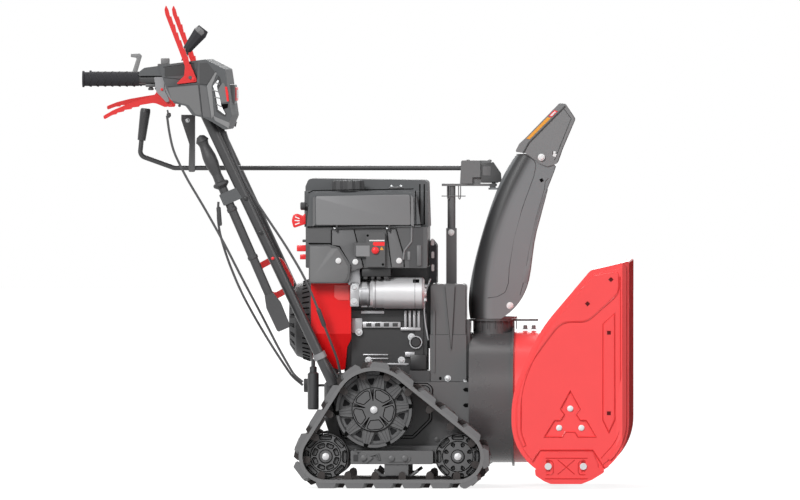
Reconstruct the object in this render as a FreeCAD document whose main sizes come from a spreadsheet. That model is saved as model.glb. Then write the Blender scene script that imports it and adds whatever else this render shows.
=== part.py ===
"""Tracked two-stage snow blower, a parametric document in millimetres.

+X points forward to the intake bucket, +Y to the operator's left and +Z up. The origin lies on the
ground, midway along and across the machine. Driving dimensions live in the sheet "Sizes".
"""
import FreeCAD, Part
import math
import os

import Sketcher

V = FreeCAD.Vector
doc = FreeCAD.newDocument("SnowBlower")

SIZES = {
    # tracks
    "track_centre": 218, "track_width": 130, "belt_thickness": 9, "lug_height": 12.5,
    "lug_length": 49, "lug_count": 17, "guide_lug_height": 20, "guide_lug_width": 18,
    "guide_lug_depth": 15, "guide_gap": 2.5,
    "drive_x": 45, "drive_z": 195, "drive_radius": 97, "idler_radius": 57,
    "rear_idler_x": -75, "front_idler_x": 254, "wheel_width": 54, "axle_radius": 9,
    "drive_hub_radius": 54, "spoke_count": 10, "idler_pockets": 8,
    "frame_plate_height": 51, "frame_plate_thick": 12, "frame_plate_z": 59,
    "slide_block_x": 71, "slide_block_length": 59, "slide_rod_radius": 4,
    # chassis and belt cover
    "chassis_half": 132, "chassis_bottom": 60, "chassis_top": 262, "chassis_front": 279,
    "chassis_rear": -46, "panel_raise": 4, "cover_rear": 181, "cover_front": 270,
    "cover_top": 506, "cover_half": 105, "cover_split": 380,
    # intake bucket
    "bucket_width": 710, "bucket_wall": 3, "auger_x": 536, "auger_z": 168.5,
    "intake_radius": 146, "hood_knee_x": 586, "hood_knee_z": 543, "hood_lip_z": 566,
    "back_knee_x": 458, "back_knee_z": 392, "scraper_front": 590, "scraper_thick": 6,
    "scraper_length": 70, "skid_thick": 6, "skid_bottom": 12.5,
    "skid_bolt_spacing": 87.5, "skid_bolt_radius": 5, "stamp_height": 3,
    # impeller housing
    "drum_radius": 165, "drum_z": 224, "drum_wall": 3, "impeller_radius": 156,
    "impeller_shaft": 11, "flange_width": 9,
    # auger
    "auger_radius": 138, "auger_shaft": 16, "auger_pitch": 210, "flight_width": 32,
    "flight_thick": 4, "tooth_height": 8, "teeth_per_turn": 12, "gearcase_half": 30,
    "gearcase_radius": 50, "worm_case_radius": 24,
    "worm_case_length": 112, "auger_gap": 42,
    # chute
    "chute_x": 338, "ring_radius": 59, "neck_radius": 51.5, "ring_z": 413, "ring_thick": 5,
    "chute_gap": 1, "chute_pin": 5, "chute_pin_gap": 0.4, "chute_wall": 3, "chute_top": 838,
    "deflector_x": 460, "deflector_z": 824, "deflector_wall": 3, "deflector_gap": 1, "deflector_bolt": 6,
    # chute gear head and crank
    "post_x": 232.5, "post_size": 26, "mast_size": 20, "post_top": 645, "shelf_z": 750,
    "shelf_thick": 6, "head_top": 814, "head_rear": 255, "head_length": 50, "head_half": 14,
    "head_throat": 16,
    "crank_z": 795, "crank_radius": 6, "crank_gap": 0.6, "crank_knee_x": -461,
    "crank_turn_x": -547, "crank_turn_z": 826, "crank_grip_z": 864, "crank_grip_length": 81,
    # handles and console
    "handle_half": 222, "foot_half": 153, "tube_radius": 13, "tube_wall": 2,
    "grip_z": 1018, "grip_end": -682, "grip_length": 141, "grip_radius": 17.5,
    "handle_knee_x": -417, "foot_x": -59, "foot_z": 257,
    "console_margin": 48, "cheek_thick": 6, "slot_width": 20,
    # levers
    "lever_x": -412, "lever_z": 1022, "lever_width": 14,
    "trigger_x": -489, "trigger_z": 990, "trigger_width": 18, "left_trigger_lift": 9,
    "pin_radius": 4, "pin_gap": 0.06,
    # engine
    "crank_axis_z": 415, "engine_rear": -131, "engine_front": 174, "engine_right": 176,
    "engine_left": 150, "engine_skirt_z": 547, "engine_seam_z": 649, "engine_hood_z": 769,
    "engine_foot_z": 290, "blower_rear": -115, "blower_front": -15, "blower_top": 509,
    "starter_radius": 39, "starter_y": 128, "starter_z": 484, "starter_front": 168,
    "recoil_rear": -172, "fuel_cap_radius": 42,
    # clean-out tool, strut and cables
    "tool_x": -180, "tool_y": -192, "tool_z": 394, "tool_lean": 23.5, "strut_x": -110,
    "strut_y": -112, "cable_radius": 3,
}


class Size:
    """A number that keeps the sheet formula it came from, so that it can drive a property."""

    def __init__(self, value, text):
        self.value = float(value)
        self.text = text

    def join(self, other, mark, value):
        return Size(value, f"({self.text} {mark} {as_size(other).text})")

    def __add__(self, other):
        return self.join(other, "+", self.value + as_size(other).value)

    def __sub__(self, other):
        return self.join(other, "-", self.value - as_size(other).value)

    def __mul__(self, other):
        return self.join(other, "*", self.value * as_size(other).value)

    def __truediv__(self, other):
        return self.join(other, "/", self.value / as_size(other).value)

    def __radd__(self, other):
        return as_size(other) + self

    def __rsub__(self, other):
        return as_size(other) - self

    def __rmul__(self, other):
        return as_size(other) * self

    def __neg__(self):
        return Size(-self.value, f"(0 - {self.text})")

    def __float__(self):
        return self.value


def as_size(number):
    return number if isinstance(number, Size) else Size(number, f"{float(number):.6f}")


class Sheet:
    """The sizes by name: sheet.track_width is a Size bound to that cell."""

    def __init__(self):
        self.cells = doc.addObject("Spreadsheet::Sheet", "Sizes")
        for row, (name, value) in enumerate(SIZES.items(), start=1):
            self.cells.set(f"A{row}", name)
            self.cells.set(f"B{row}", str(value))
            self.cells.setAlias(f"B{row}", name)
        doc.recompute()

    def __getattr__(self, name):
        return Size(getattr(self.cells, name), f"Sizes.{name}")


S = Sheet()
nodes = []


# ---------------------------------------------------------------- building blocks

def bind(thing, path, size):
    thing.setExpression(path, as_size(size).text)


def node(label, thing):
    """Names a finished sub-part; its label is also its file's name."""
    thing.Label = label
    nodes.append(thing)
    return thing


def place(thing, base, turn=None):
    """Puts a primitive at base and turns it by (axis, degrees)."""
    if turn:
        thing.Placement = FreeCAD.Placement(V(), FreeCAD.Rotation(V(*turn[0]), turn[1]))
    for axis, value in zip("xyz", base):
        bind(thing, f"Placement.Base.{axis}", value)
    return thing


ALONG = {"x": ((0, 1, 0), 90), "y": ((1, 0, 0), -90), "z": None}


def cylinder(name, radius, length, base, along="z"):
    made = doc.addObject("Part::Cylinder", name)
    bind(made, "Radius", radius)
    bind(made, "Height", length)
    return place(made, base, ALONG[along])


def box(name, low, size):
    made = doc.addObject("Part::Box", name)
    for side, value in zip(("Length", "Width", "Height"), size):
        bind(made, side, value)
    return place(made, low)


def fuse(name, *things):
    made = doc.addObject("Part::MultiFuse", name)
    made.Shapes = list(things)
    return made


def cut(name, base, tool):
    made = doc.addObject("Part::Cut", name)
    made.Base = base
    made.Tool = tool
    return made


def shape(name, solid):
    made = doc.addObject("Part::Feature", name)
    made.Shape = solid
    return made


class Sketch:
    """A sketch on one of a body's origin planes; its outlines are tied to the sheet."""

    def __init__(self, body, plane, at=0, centre=(0, 0), turn=0):
        self.made = body.newObject("Sketcher::SketchObject", body.Name + "_sketch")
        support = [f for f in body.Origin.OriginFeatures if f.Role == plane + "_Plane"][0]
        self.made.AttachmentSupport = [(support, "")]
        self.made.MapMode = "FlatFace"
        at = as_size(at)
        if turn:
            self.made.AttachmentOffset = FreeCAD.Placement(V(), FreeCAD.Rotation(V(0, 0, 1), turn))
        bind(self.made, "AttachmentOffset.Base.x", centre[0])
        bind(self.made, "AttachmentOffset.Base.y", centre[1])
        bind(self.made, "AttachmentOffset.Base.z", -at if plane == "XZ" else at)

    def fix(self, geometry, point, x, y):
        for kind, size in (("DistanceX", x), ("DistanceY", y)):
            size = as_size(size)
            number = self.made.addConstraint(
                Sketcher.Constraint(kind, -1, 1, geometry, point, size.value))
            bind(self.made, f"Constraints[{number}]", size)

    def radius(self, geometry, size, limit=None):
        size = as_size(size)
        value = size.value if limit is None else min(size.value, limit)
        number = self.made.addConstraint(Sketcher.Constraint("Radius", geometry, value))
        if value == size.value:
            bind(self.made, f"Constraints[{number}]", size)

    def circle(self, x, y, radius):
        at = V(float(as_size(x)), float(as_size(y)), 0)
        round_ = self.made.addGeometry(Part.Circle(at, V(0, 0, 1), float(as_size(radius))), False)
        self.fix(round_, 3, x, y)
        self.radius(round_, radius)
        return self

    def outline(self, corners):
        """A closed outline through the corners; a corner (x, y, r) is rounded to r."""
        count = len(corners)
        points = [V(float(as_size(c[0])), float(as_size(c[1])), 0) for c in corners]
        sides = [points[(i + 1) % count] - points[i] for i in range(count)]
        half_turn = []
        for i in range(count):
            half_turn.append(math.tan(sides[i - 1].getAngle(sides[i]) / 2))
        reach = [float(as_size(c[2])) * t if len(c) > 2 else 0 for c, t in zip(corners, half_turn)]
        room = [1.0] * count
        for i in range(count):
            j = (i + 1) % count
            wanted = reach[i] + reach[j]
            if wanted > 0.995 * sides[i].Length:
                share = 0.995 * sides[i].Length / wanted
                room[i] = min(room[i], share)
                room[j] = min(room[j], share)
        reach = [r * k for r, k in zip(reach, room)]
        lines = []
        for i in range(count):
            way = V(sides[i]).normalize()
            first = points[i] + way * reach[i]
            last = points[(i + 1) % count] - way * reach[(i + 1) % count]
            lines.append(self.made.addGeometry(Part.LineSegment(first, last), False))
        for i, corner in enumerate(corners):
            before, after = lines[i - 1], lines[i]
            if not reach[i]:
                self.made.addConstraint(Sketcher.Constraint("Coincident", before, 2, after, 1))
                self.fix(after, 1, corner[0], corner[1])
                continue
            self.round_corner(corner, points[i], sides[i - 1], sides[i], reach[i],
                              half_turn[i], before, after)
        return self

    def round_corner(self, corner, point, arriving, leaving, reach, half_turn, before, after):
        arriving, leaving = V(arriving).normalize(), V(leaving).normalize()
        radius = reach / half_turn
        left = arriving.cross(leaving).z > 0
        inward = V(-arriving.y, arriving.x, 0) * (1 if left else -1)
        centre = point - arriving * reach + inward * radius
        start, end = point - arriving * reach, point + leaving * reach
        if not left:
            start, end = end, start
        angles = [math.atan2(p.y - centre.y, p.x - centre.x) for p in (start, end)]
        arc = self.made.addGeometry(
            Part.ArcOfCircle(Part.Circle(centre, V(0, 0, 1), radius), *angles), False)
        tip = self.made.addGeometry(Part.Point(point), True)
        first, last = (1, 2) if left else (2, 1)
        self.made.addConstraint([
            Sketcher.Constraint("Tangent", before, 2, arc, first),
            Sketcher.Constraint("Tangent", after, 1, arc, last),
            Sketcher.Constraint("PointOnObject", tip, 1, before),
            Sketcher.Constraint("PointOnObject", tip, 1, after)])
        self.fix(tip, 1, corner[0], corner[1])
        self.radius(arc, corner[2], radius)


class Body:
    """A part-design body and the features that the machine's pieces are made with."""

    def __init__(self, name):
        self.made = doc.addObject("PartDesign::Body", name)

    def sketch(self, plane, at=0, centre=(0, 0), turn=0):
        return Sketch(self.made, plane, at, centre, turn)

    def feature(self, kind, sketch):
        made = self.made.newObject("PartDesign::" + kind, self.made.Name + "_" + kind.lower())
        made.Profile = sketch.made
        return made

    def pad(self, sketch, length, middle=False, back=False, taper=0, kind="Pad"):
        made = self.feature(kind, sketch)
        bind(made, "Length", length)
        if middle:
            made.SideType = "Symmetric"
        made.Reversed = back
        if taper:
            made.TaperAngle = taper
        doc.recompute()
        return made

    def pocket(self, sketch, length, middle=False, back=False, taper=0):
        """Cuts the sketch in by length, and stops the build if that takes nothing away."""
        whole = self.made.Shape.Volume
        made = self.pad(sketch, length, middle, back, taper, kind="Pocket")
        assert self.made.Shape.Volume < whole - 1e-3, f"{made.Name} cuts nothing"
        return made

    def revolve(self, sketch, axis="V_Axis", kind="Revolution"):
        made = self.feature(kind, sketch)
        made.ReferenceAxis = (sketch.made, [axis])
        made.Angle = 360
        doc.recompute()
        return made

    def around(self, feature, sketch, count):
        """Repeats a feature round the normal of its sketch."""
        made = self.made.newObject("PartDesign::PolarPattern", self.made.Name + "_round")
        made.Originals = [feature]
        made.Axis = (sketch.made, ["N_Axis"])
        made.Angle = 360
        made.Occurrences = count
        self.made.Tip = made
        doc.recompute()
        return made

    def loft(self, sections, kind="AdditiveLoft", ruled=False):
        made = self.feature(kind, sections[0])
        made.Sections = [s.made for s in sections[1:]]
        made.Ruled = ruled
        doc.recompute()
        return made

    def edges(self, wanted):
        """The names of the edges that the test picks, for a fillet or chamfer."""
        found = enumerate(self.made.Shape.Edges, start=1)
        return [f"Edge{i}" for i, edge in found if wanted(edge)]

    def dress(self, kind, wanted, size):
        names = self.edges(wanted)
        tip = self.made.Tip
        made = self.made.newObject("PartDesign::" + kind, self.made.Name + "_" + kind.lower())
        made.Base = (tip, names)
        bind(made, "Radius" if kind == "Fillet" else "Size", size)
        doc.recompute()
        return made


def rod(points, radius, bend, bore=0):
    """A round bar, or a tube with a bore, along straight runs joined by arcs of radius bend."""
    points = [V(*[float(as_size(c)) for c in p]) for p in points]
    edges, start = [], points[0]
    for before, corner, after in zip(points, points[1:], points[2:]):
        arriving, leaving = (corner - before).normalize(), (after - corner).normalize()
        turn = arriving.getAngle(leaving)
        reach = bend * math.tan(turn / 2)
        first, last = corner - arriving * reach, corner + leaving * reach
        inward = (leaving - arriving).normalize()
        middle = corner + inward * (bend / math.cos(turn / 2) - bend)
        edges += [Part.LineSegment(start, first).toShape(), Part.Arc(first, middle, last).toShape()]
        start = last
    edges.append(Part.LineSegment(start, points[-1]).toShape())
    path = Part.Wire(edges)
    way = (points[1] - points[0]).normalize()

    def pipe(size):
        ring = Part.Wire([Part.Circle(points[0], way, size).toShape()])
        return path.makePipeShell([ring], True, False)

    return pipe(radius).cut(pipe(bore)) if bore else pipe(radius)


# ---------------------------------------------------------------- shared outlines

def slab(name, corners, low, high, plane="XZ"):
    """A flat piece: an outline padded square to its plane, from low to high."""
    low, high = as_size(low), as_size(high)
    body = Body(name)
    body.pad(body.sketch(plane, at=high if plane == "XZ" else low).outline(corners), high - low)
    return body


def shifted(origin, corners):
    """Corners given from an origin; what follows the two coordinates is kept."""
    return [(origin[0] + c[0], origin[1] + c[1], *c[2:]) for c in corners]


def mirrored(side, corners):
    """Corners whose first coordinate is measured outwards from the middle, for one side."""
    return [(side * c[0], *c[1:]) for c in corners]


def inset(corners, depth):
    """The corners of a convex outline moved in by depth, with their radii cut by as much."""
    count = len(corners)
    flat = [V(float(as_size(c[0])), float(as_size(c[1])), 0) for c in corners]
    moved = []
    for i, corner in enumerate(corners):
        arriving = (flat[i] - flat[i - 1]).normalize()
        leaving = (flat[(i + 1) % count] - flat[i]).normalize()
        inward = (leaving - arriving) / math.sin(arriving.getAngle(leaving))
        radius = [max(as_size(corner[2]) - depth, as_size(0.5), key=float)] if len(corner) > 2 else []
        moved.append((corner[0] + depth * inward.x, corner[1] + depth * inward.y, *radius))
    return moved


SIDES = (("right", -1), ("left", 1))


def span(side, inner, outer):
    """The lower and upper Y of a piece that lies between two distances from the middle."""
    inner, outer = as_size(inner), as_size(outer)
    return (-outer, -inner) if side < 0 else (inner, outer)


def face_at(side, distance):
    """The Y of a plane on one side, and whether a pocket from there towards the middle is turned."""
    return side * as_size(distance), side > 0


# ---------------------------------------------------------------- tracks

belt_inside_z = S.lug_height + S.belt_thickness
idler_z = belt_inside_z + S.idler_radius
wheel_inner = S.track_centre - S.wheel_width / 2
wheel_outer = S.track_centre + S.wheel_width / 2
plate_inner = S.track_centre - S.track_width / 2 + 4
plate_outer = plate_inner + S.frame_plate_thick
WHEELS = ((S.drive_x, S.drive_z, S.drive_radius), (S.rear_idler_x, idler_z, S.idler_radius),
          (S.front_idler_x, idler_z, S.idler_radius))


def loop_line(offset):
    """The line laid round the three wheels, offset outwards, as a wire in the XZ plane."""
    centres = [V(float(x), 0, float(z)) for x, z, _ in WHEELS]
    radii = [float(r) + offset for _, _, r in WHEELS]
    outward = []
    for i in range(3):
        gap = centres[(i + 1) % 3] - centres[i]
        lean = math.asin((radii[i] - radii[(i + 1) % 3]) / gap.Length)
        square, along = V(gap.z, 0, -gap.x).normalize(), V(gap).normalize()
        outward.append(square * math.cos(lean) + along * math.sin(lean))
    edges = []
    for i in range(3):
        j = (i + 1) % 3
        first, last = centres[j] + outward[i] * radii[j], centres[j] + outward[j] * radii[j]
        middle = centres[j] + (outward[i] + outward[j]).normalize() * radii[j]
        edges.append(Part.makeLine(centres[i] + outward[i] * radii[i], first))
        edges.append(Part.Arc(first, middle, last).toShape())
    return Part.Wire(edges)


def station(line, distance):
    """A point of the line, the direction of travel there and the outward direction."""
    distance %= line.Length
    for edge in line.Edges:
        if distance <= edge.Length:
            at = edge.getParameterByLength(distance)
            way = edge.tangentAt(at)
            return edge.valueAt(at), way, V(way.z, 0, -way.x)
        distance -= edge.Length
    return station(line, 0)


def lug(line, distance, profile, sweep):
    """A prism: a profile (along, outward) set on the line, swept by (along, across)."""
    point, way, out = station(line, distance)
    corners = [point + way * a + out * b for a, b in profile]
    return Part.Face(Part.makePolygon(corners + corners[:1])).extrude(
        way * sweep[0] + V(0, sweep[1], 0))


def belt(side):
    """A rubber track: one loop, with staggered ground lugs outside and guide lugs inside."""
    thick, width = float(S.belt_thickness), float(S.track_width)
    middle = side * float(S.track_centre)
    inner, outer = loop_line(0), loop_line(thick)
    band = Part.Face(outer).cut(Part.Face(inner)).Faces[0].extrude(V(0, width, 0))
    band.translate(V(0, middle - width / 2, 0))
    count = int(float(S.lug_count))
    pitch = outer.Length / count
    half, tall = float(S.lug_length) / 2, float(S.lug_height)
    ground = [(-half, -thick / 2), (-half, 2), (-half + 6, tall), (half - 6, tall), (half, 2),
              (half, -thick / 2)]
    lugs = []
    for i in range(count):
        for outboard, start, lag in ((side, 3, -0.1), (-side, 2, 0.1)):
            piece = lug(outer, (i + 0.5 + lag) * pitch, ground,
                        (-0.18 * 2 * half, outboard * (width / 2 - start)))
            piece.translate(V(0, middle + outboard * start, 0))
            lugs.append(piece)
    wide, high, deep = (float(S.guide_lug_width) / 2, float(S.guide_lug_height),
                        float(S.guide_lug_depth))
    guide = [(-wide, thick / 3), (-wide, wide - high), (-0.7 * wide, 0.3 * wide - high),
             (0, -high), (0.7 * wide, 0.3 * wide - high), (wide, wide - high), (wide, thick / 3)]
    reach = float(S.wheel_width) / 2 + float(S.guide_gap)
    for i in range(count):
        for row in (-reach - deep, reach):
            piece = lug(inner, i * inner.Length / count, guide, (0, deep))
            piece.translate(V(0, middle + row, 0))
            lugs.append(piece)
    return band.multiFuse(lugs).removeSplitter()


def turned(body, x, z, side, steps):
    """Turns a wheel about its axle; steps are (distance outwards from its middle, radius)."""
    sketch = body.sketch("YZ", at=x, centre=(side * S.track_centre, z))
    return body.revolve(sketch.outline(mirrored(side, steps)), "H_Axis")


def ring_of(body, side, depth, x, z, corners, cut_depth, count, turn=0):
    """A ring of pockets sunk into a wheel's outer side."""
    at, back = face_at(side, S.track_centre + depth)
    sketch = body.sketch("XZ", at=at, centre=(x, z), turn=turn)
    sketch.outline(corners)
    return body.around(body.pocket(sketch, cut_depth, back=back), sketch, count)


def drive_wheel(word, side):
    body = Body("drive_wheel_" + word)
    half, r, hub = S.wheel_width / 2, S.drive_radius, S.drive_hub_radius
    turned(body, S.drive_x, S.drive_z, side, [
        (-half, S.axle_radius), (-half, 40), (-half + 16, 44), (-half + 16, r - 12), (-half, r - 6),
        (-half, r), (half, r), (half, r - 9), (half - 12, r - 13), (half - 12, hub), (half, hub),
        (half + 3, hub - 5), (half + 3, S.axle_radius)])
    spokes = 360 / SIZES["spoke_count"]
    ring_of(body, side, half - 12, S.drive_x, S.drive_z, [
        (-9, hub + 7, 3), (9, hub + 7, 3), (6, hub + 23, 3), (-6, hub + 23, 3)],
        S.wheel_width, SIZES["spoke_count"], 4.5 + spokes / 2)
    web = body.sketch("XZ", at=face_at(side, S.track_centre + half - 12)[0],
                      centre=(S.drive_x, S.drive_z), turn=4.5)
    web.outline([(-12, hub - 4), (12, hub - 4), (6, r - 10), (-6, r - 10)])
    spoke = body.pad(web, 9, back=side > 0)
    body.around(spoke, web, SIZES["spoke_count"])
    ring_of(body, side, half, S.drive_x, S.drive_z, [
        (-4, r - 14, 1), (4, r - 14, 1), (4, r - 3, 1), (-4, r - 3, 1)], 14, SIZES["spoke_count"], 4.5)
    ring_of(body, side, half + 3, S.drive_x, S.drive_z, [
        (-9, 25, 4), (9, 25, 4), (22, 40, 6), (0, 47, 30), (-22, 40, 6)], 3, 5, 41)
    ring_of(body, side, half + 3, S.drive_x, S.drive_z, [
        (-1.6, 20), (1.6, 20), (3, 46), (-3, 46)], 5, 5)
    return body.made


def idler(name, x, side, inner_pocket):
    body = Body(name)
    half, r = S.wheel_width / 2, S.idler_radius
    turned(body, x, idler_z, side, [
        (-half, S.axle_radius), (-half, 26), (-half + 14, 30), (-half + 14, r - 8), (-half, r - 5),
        (-half, r), (half - 2, r), (half, r - 2), (half, 17), (half + 3, 14),
        (half + 3, S.axle_radius)])
    ring_of(body, side, half, x, idler_z, [
        (-13, r - 15, 3), (13, r - 15, 3), (16, r - 6, 3), (-16, r - 6, 3)], 6, SIZES["idler_pockets"])
    ring_of(body, side, half, x, idler_z, inner_pocket, 6, SIZES["idler_pockets"], 22.5)
    return body.made


def track_frame(word, side):
    """The inboard plate that carries the idlers, its chassis mount, and the belt's slide shoe."""
    low, high = span(side, plate_inner, plate_outer)
    bottom, top = S.frame_plate_z, S.frame_plate_z + S.frame_plate_height
    body = slab("frame_plate_" + word, [
        (S.rear_idler_x - 20, bottom, 14), (S.front_idler_x + 14, bottom, 14),
        (S.front_idler_x + 14, top - 6, 14), (S.rear_idler_x - 20, top - 6, 14)], low, high)
    low, high = span(side, S.chassis_half, plate_inner)
    mount = body.sketch("XZ", at=high)
    mount.outline([(S.drive_x - 60, bottom + 6, 4), (S.drive_x + 90, bottom + 6, 4),
                   (S.drive_x + 90, bottom + 36, 4), (S.drive_x - 60, bottom + 36, 4)])
    body.pad(mount, high - low)
    low, high = span(side, plate_outer, wheel_outer - 3)
    bar = body.sketch("XZ", at=high)
    bar.outline([(S.rear_idler_x + S.idler_radius + 5, bottom, 3),
                 (S.front_idler_x - S.idler_radius - 5, bottom, 3),
                 (S.front_idler_x - S.idler_radius - 5, bottom + 34, 3),
                 (S.rear_idler_x + S.idler_radius + 5, bottom + 34, 3)])
    body.pad(bar, high - low)
    oval = body.sketch("XZ", at=face_at(side, wheel_outer)[0] if side > 0
                       else face_at(side, wheel_outer - 3)[0])
    oval.outline(shifted((S.slide_block_x + 34, bottom + 15), [
        (-31, -9, 8.5), (31, -9, 8.5), (31, 9, 8.5), (-31, 9, 8.5)]))
    body.pad(oval, 3)
    low, high = span(side, S.track_centre - 20, S.track_centre + 20)
    block = body.sketch("XZ", at=high)
    start, end = S.slide_block_x, S.slide_block_x + S.slide_block_length
    block.outline([(start, bottom - 28, 2), (end, bottom - 28, 2), (end, bottom), (start, bottom)])
    body.pad(block, 40)
    rod_z = belt_inside_z + 9
    bent = rod([(start - 25, side * S.track_centre, rod_z + 15),
                (start - 8, side * S.track_centre, rod_z),
                (start + 66, side * S.track_centre, rod_z),
                (start + 83, side * S.track_centre, rod_z + 12)], float(S.slide_rod_radius), 9)
    return fuse("track_frame_and_slide_" + word, body.made, shape("slide_rod_" + word, bent))


def tracks():
    for word, side in SIDES:
        node("track_" + word, shape("track_loop_" + word, belt(side)))
        node("drive_wheel_" + word, drive_wheel(word, side))
        rear = idler("rear_idler_" + word, S.rear_idler_x, side, [
            (-7.5, 23, 3), (7.5, 23, 3), (10, 33, 3), (-10, 33, 3)])
        front = idler("front_idler_" + word, S.front_idler_x, side, [
            (0, 24, 2), (7, 35, 3), (-7, 35, 3)])
        node("idlers_" + word, fuse("idlers_" + word, rear, front))
        node("track_frame_" + word, track_frame(word, side))
    pins = []
    for word, side in SIDES:
        for x in (S.rear_idler_x, S.front_idler_x):
            low, high = span(side, plate_outer, wheel_outer + 6)
            pins.append(cylinder("idler_pin_" + word, S.axle_radius, high - low,
                                 (x, low, idler_z), "y"))
        low, high = span(side, S.chassis_half + S.panel_raise, wheel_outer + 6)
        pins.append(cylinder("drive_shaft_" + word, S.axle_radius, high - low,
                             (S.drive_x, low, S.drive_z), "y"))
    node("axles", fuse("axle_pins", *pins))


tracks()


# ---------------------------------------------------------------- chassis

def chassis():
    half, raised = S.chassis_half, S.chassis_half + S.panel_raise
    front, top, bottom, rear = S.chassis_front, S.chassis_top, S.chassis_bottom, S.chassis_rear
    body = slab("chassis_shell", [
        (rear, bottom, 12), (front - 50, bottom, 20), (front, bottom + 40, 20), (front, top),
        (rear - 36, top, 8), (rear - 36, top - 90, 20)], -half, half)
    panel = body.sketch("XZ", at=raised)
    panel.outline([
        (rear + 8, bottom + 62, 10), (S.drive_x + 96, bottom + 62, 10),
        (S.drive_x + 141, bottom + 107, 14), (S.drive_x + 143, top - 12, 14),
        (S.drive_x + 130, top - 3, 2), (rear - 30, top - 3, 2), (rear - 30, top - 84, 12)])
    body.pad(panel, 2 * raised)
    node("chassis", body.made)


def belt_cover():
    half, rear, front = S.cover_half, S.cover_rear, S.cover_front
    body = slab("belt_cover_shell", [
        (rear, S.chassis_top), (front + 2, S.chassis_top), (front + 2, S.cover_split),
        (rear, S.cover_split)], -half - 2, half + 2)
    upper = body.sketch("XZ", at=half)
    upper.outline([(rear + 2, S.cover_split - 1), (front, S.cover_split - 1),
                   (front, S.cover_top, 9), (rear + 2, S.cover_top, 9)])
    body.pad(upper, 2 * half)
    rib = body.sketch("XZ", at=half + 4)
    rib.outline([(S.post_x - 13, S.cover_top - 6), (S.post_x - 2, S.cover_split - 38),
                 (S.post_x + 2, S.cover_split - 38), (S.post_x + 11, S.cover_top - 6)])
    body.pad(rib, 2 * (half + 4))
    edge = body.sketch("XZ", at=half + 5)
    edge.outline([(rear + 8, S.chassis_top + 24), (rear + 13, S.chassis_top + 24),
                  (rear + 13, S.cover_top - 66), (rear + 8, S.cover_top - 66)])
    body.pad(edge, 2 * (half + 5))
    node("belt_cover", body.made)


chassis()
belt_cover()


# ---------------------------------------------------------------- intake bucket

intake_rear = S.auger_x - S.intake_radius
intake_front = S.auger_x + S.intake_radius
intake_floor = S.auger_z - S.intake_radius


def intake_outline():
    """The intake seen from the side: a half circle about the auger, a curved back and a hood."""
    return [
        (intake_front, intake_floor, S.intake_radius), (intake_front, S.hood_lip_z, 4),
        (S.hood_knee_x, S.hood_knee_z, 18), (S.back_knee_x, S.back_knee_z, 400),
        (intake_rear, S.drum_z + 11, 250), (intake_rear, intake_floor, S.intake_radius)]


def outline_body(name, corners, half):
    body = Body(name)
    body.pad(body.sketch("XZ", at=half).outline(corners), 2 * half)
    return body.made


def bucket_side(word, side):
    """A side plate with the fields that are stamped in it, each with sloping edges."""
    half, wall, rise = S.bucket_width / 2, S.bucket_wall, S.stamp_height
    x, z = S.auger_x, S.auger_z
    low, high = span(side, half - wall, half)
    body = slab("bucket_side_" + word, intake_outline(), low, high)

    def stamp(level, height, corners, slope):
        at, outwards = face_at(side, half + level)
        field = body.sketch("XZ", at=at)
        field.outline(corners)
        body.pad(field, height, back=outwards, taper=slope)

    def press(level, depth, corners, slope=0):
        at, inwards = face_at(side, half + level)
        field = body.sketch("XZ", at=at)
        field.outline(corners)
        body.pocket(field, depth, back=inwards, taper=slope)

    stamp(0, rise, inset(intake_outline(), 9.5), -42)
    front = intake_front - 5 - x
    back = front - 12
    stamp(0, rise + 2, shifted((x, z), [
        (front, S.hood_lip_z - z - 10), (back, S.hood_lip_z - z - 14),
        (back, -0.414 * back, back), (0.707 * back, -0.707 * back),
        (0.707 * front, -0.707 * front), (front, -0.414 * front, front)]), -20)
    band = inset(intake_outline(), 12.5)
    stamp(rise, rise, [
        (x + 121, S.hood_lip_z - 24, 8), band[2], band[3], band[4][:2] + (200,),
        (band[4][0], z - 30, 90), (x - 117, z - 66), (x - 110, z - 61),
        (x - 122, z - 28, 60), (x - 122, z + 115, 285), (x - 23, z + 247, 50),
        (x + 42, z + 247, 45), (x + 121, z + 318, 40)], -36)
    stamp(rise, rise, shifted((x, z), [
        (81, 3, 3), (96, -29, 2), (111, 3, 3), (111, 270, 3), (81, 242, 3)]), -42)
    press(rise, rise, shifted((x, z), [
        (-110, -152), (-95, -100), (-76, -71, 5), (56, -71, 5), (84, -115), (104, -152)]), -35)
    press(rise, rise, shifted((x, z), [
        (0, 77), (-25, 31, 2), (-15, 18, 2), (-25, 3, 2), (-40, 3, 2), (-65, -39), (-19, -39, 2),
        (-12, -27, 2), (12, -27, 2), (19, -39, 2), (65, -39), (40, 3, 2), (25, 3, 2), (15, 18, 2),
        (25, 31, 2)]), -40)
    at, inwards = face_at(side, half + 2 * rise)
    through = 2 * rise + wall + 1
    for turn in (0, 120, 240):
        bolt = body.sketch("XZ", at=at, centre=(x, z), turn=turn)
        bolt.circle(0, 32, 4.2)
        body.pocket(bolt, through, back=inwards)
    for reach in (-0.5, 0.5):
        bolt = body.sketch("XZ", at=at)
        bolt.circle(x - 11 + reach * S.skid_bolt_spacing, S.skid_bottom + 44, S.skid_bolt_radius)
        body.pocket(bolt, through, back=inwards)
    for dx, dz in ((101, 352), (43, 292)):
        press(2 * rise, through, shifted((x + dx, z + dz), [(0, -7), (7, 0), (0, 7), (-7, 0)]))
    for dz in (220, 20):
        press(2 * rise, through, shifted((x + 96, z + dz), [(-5, -5), (5, -5), (5, 5), (-5, 5)]))
    return body.made


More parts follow.
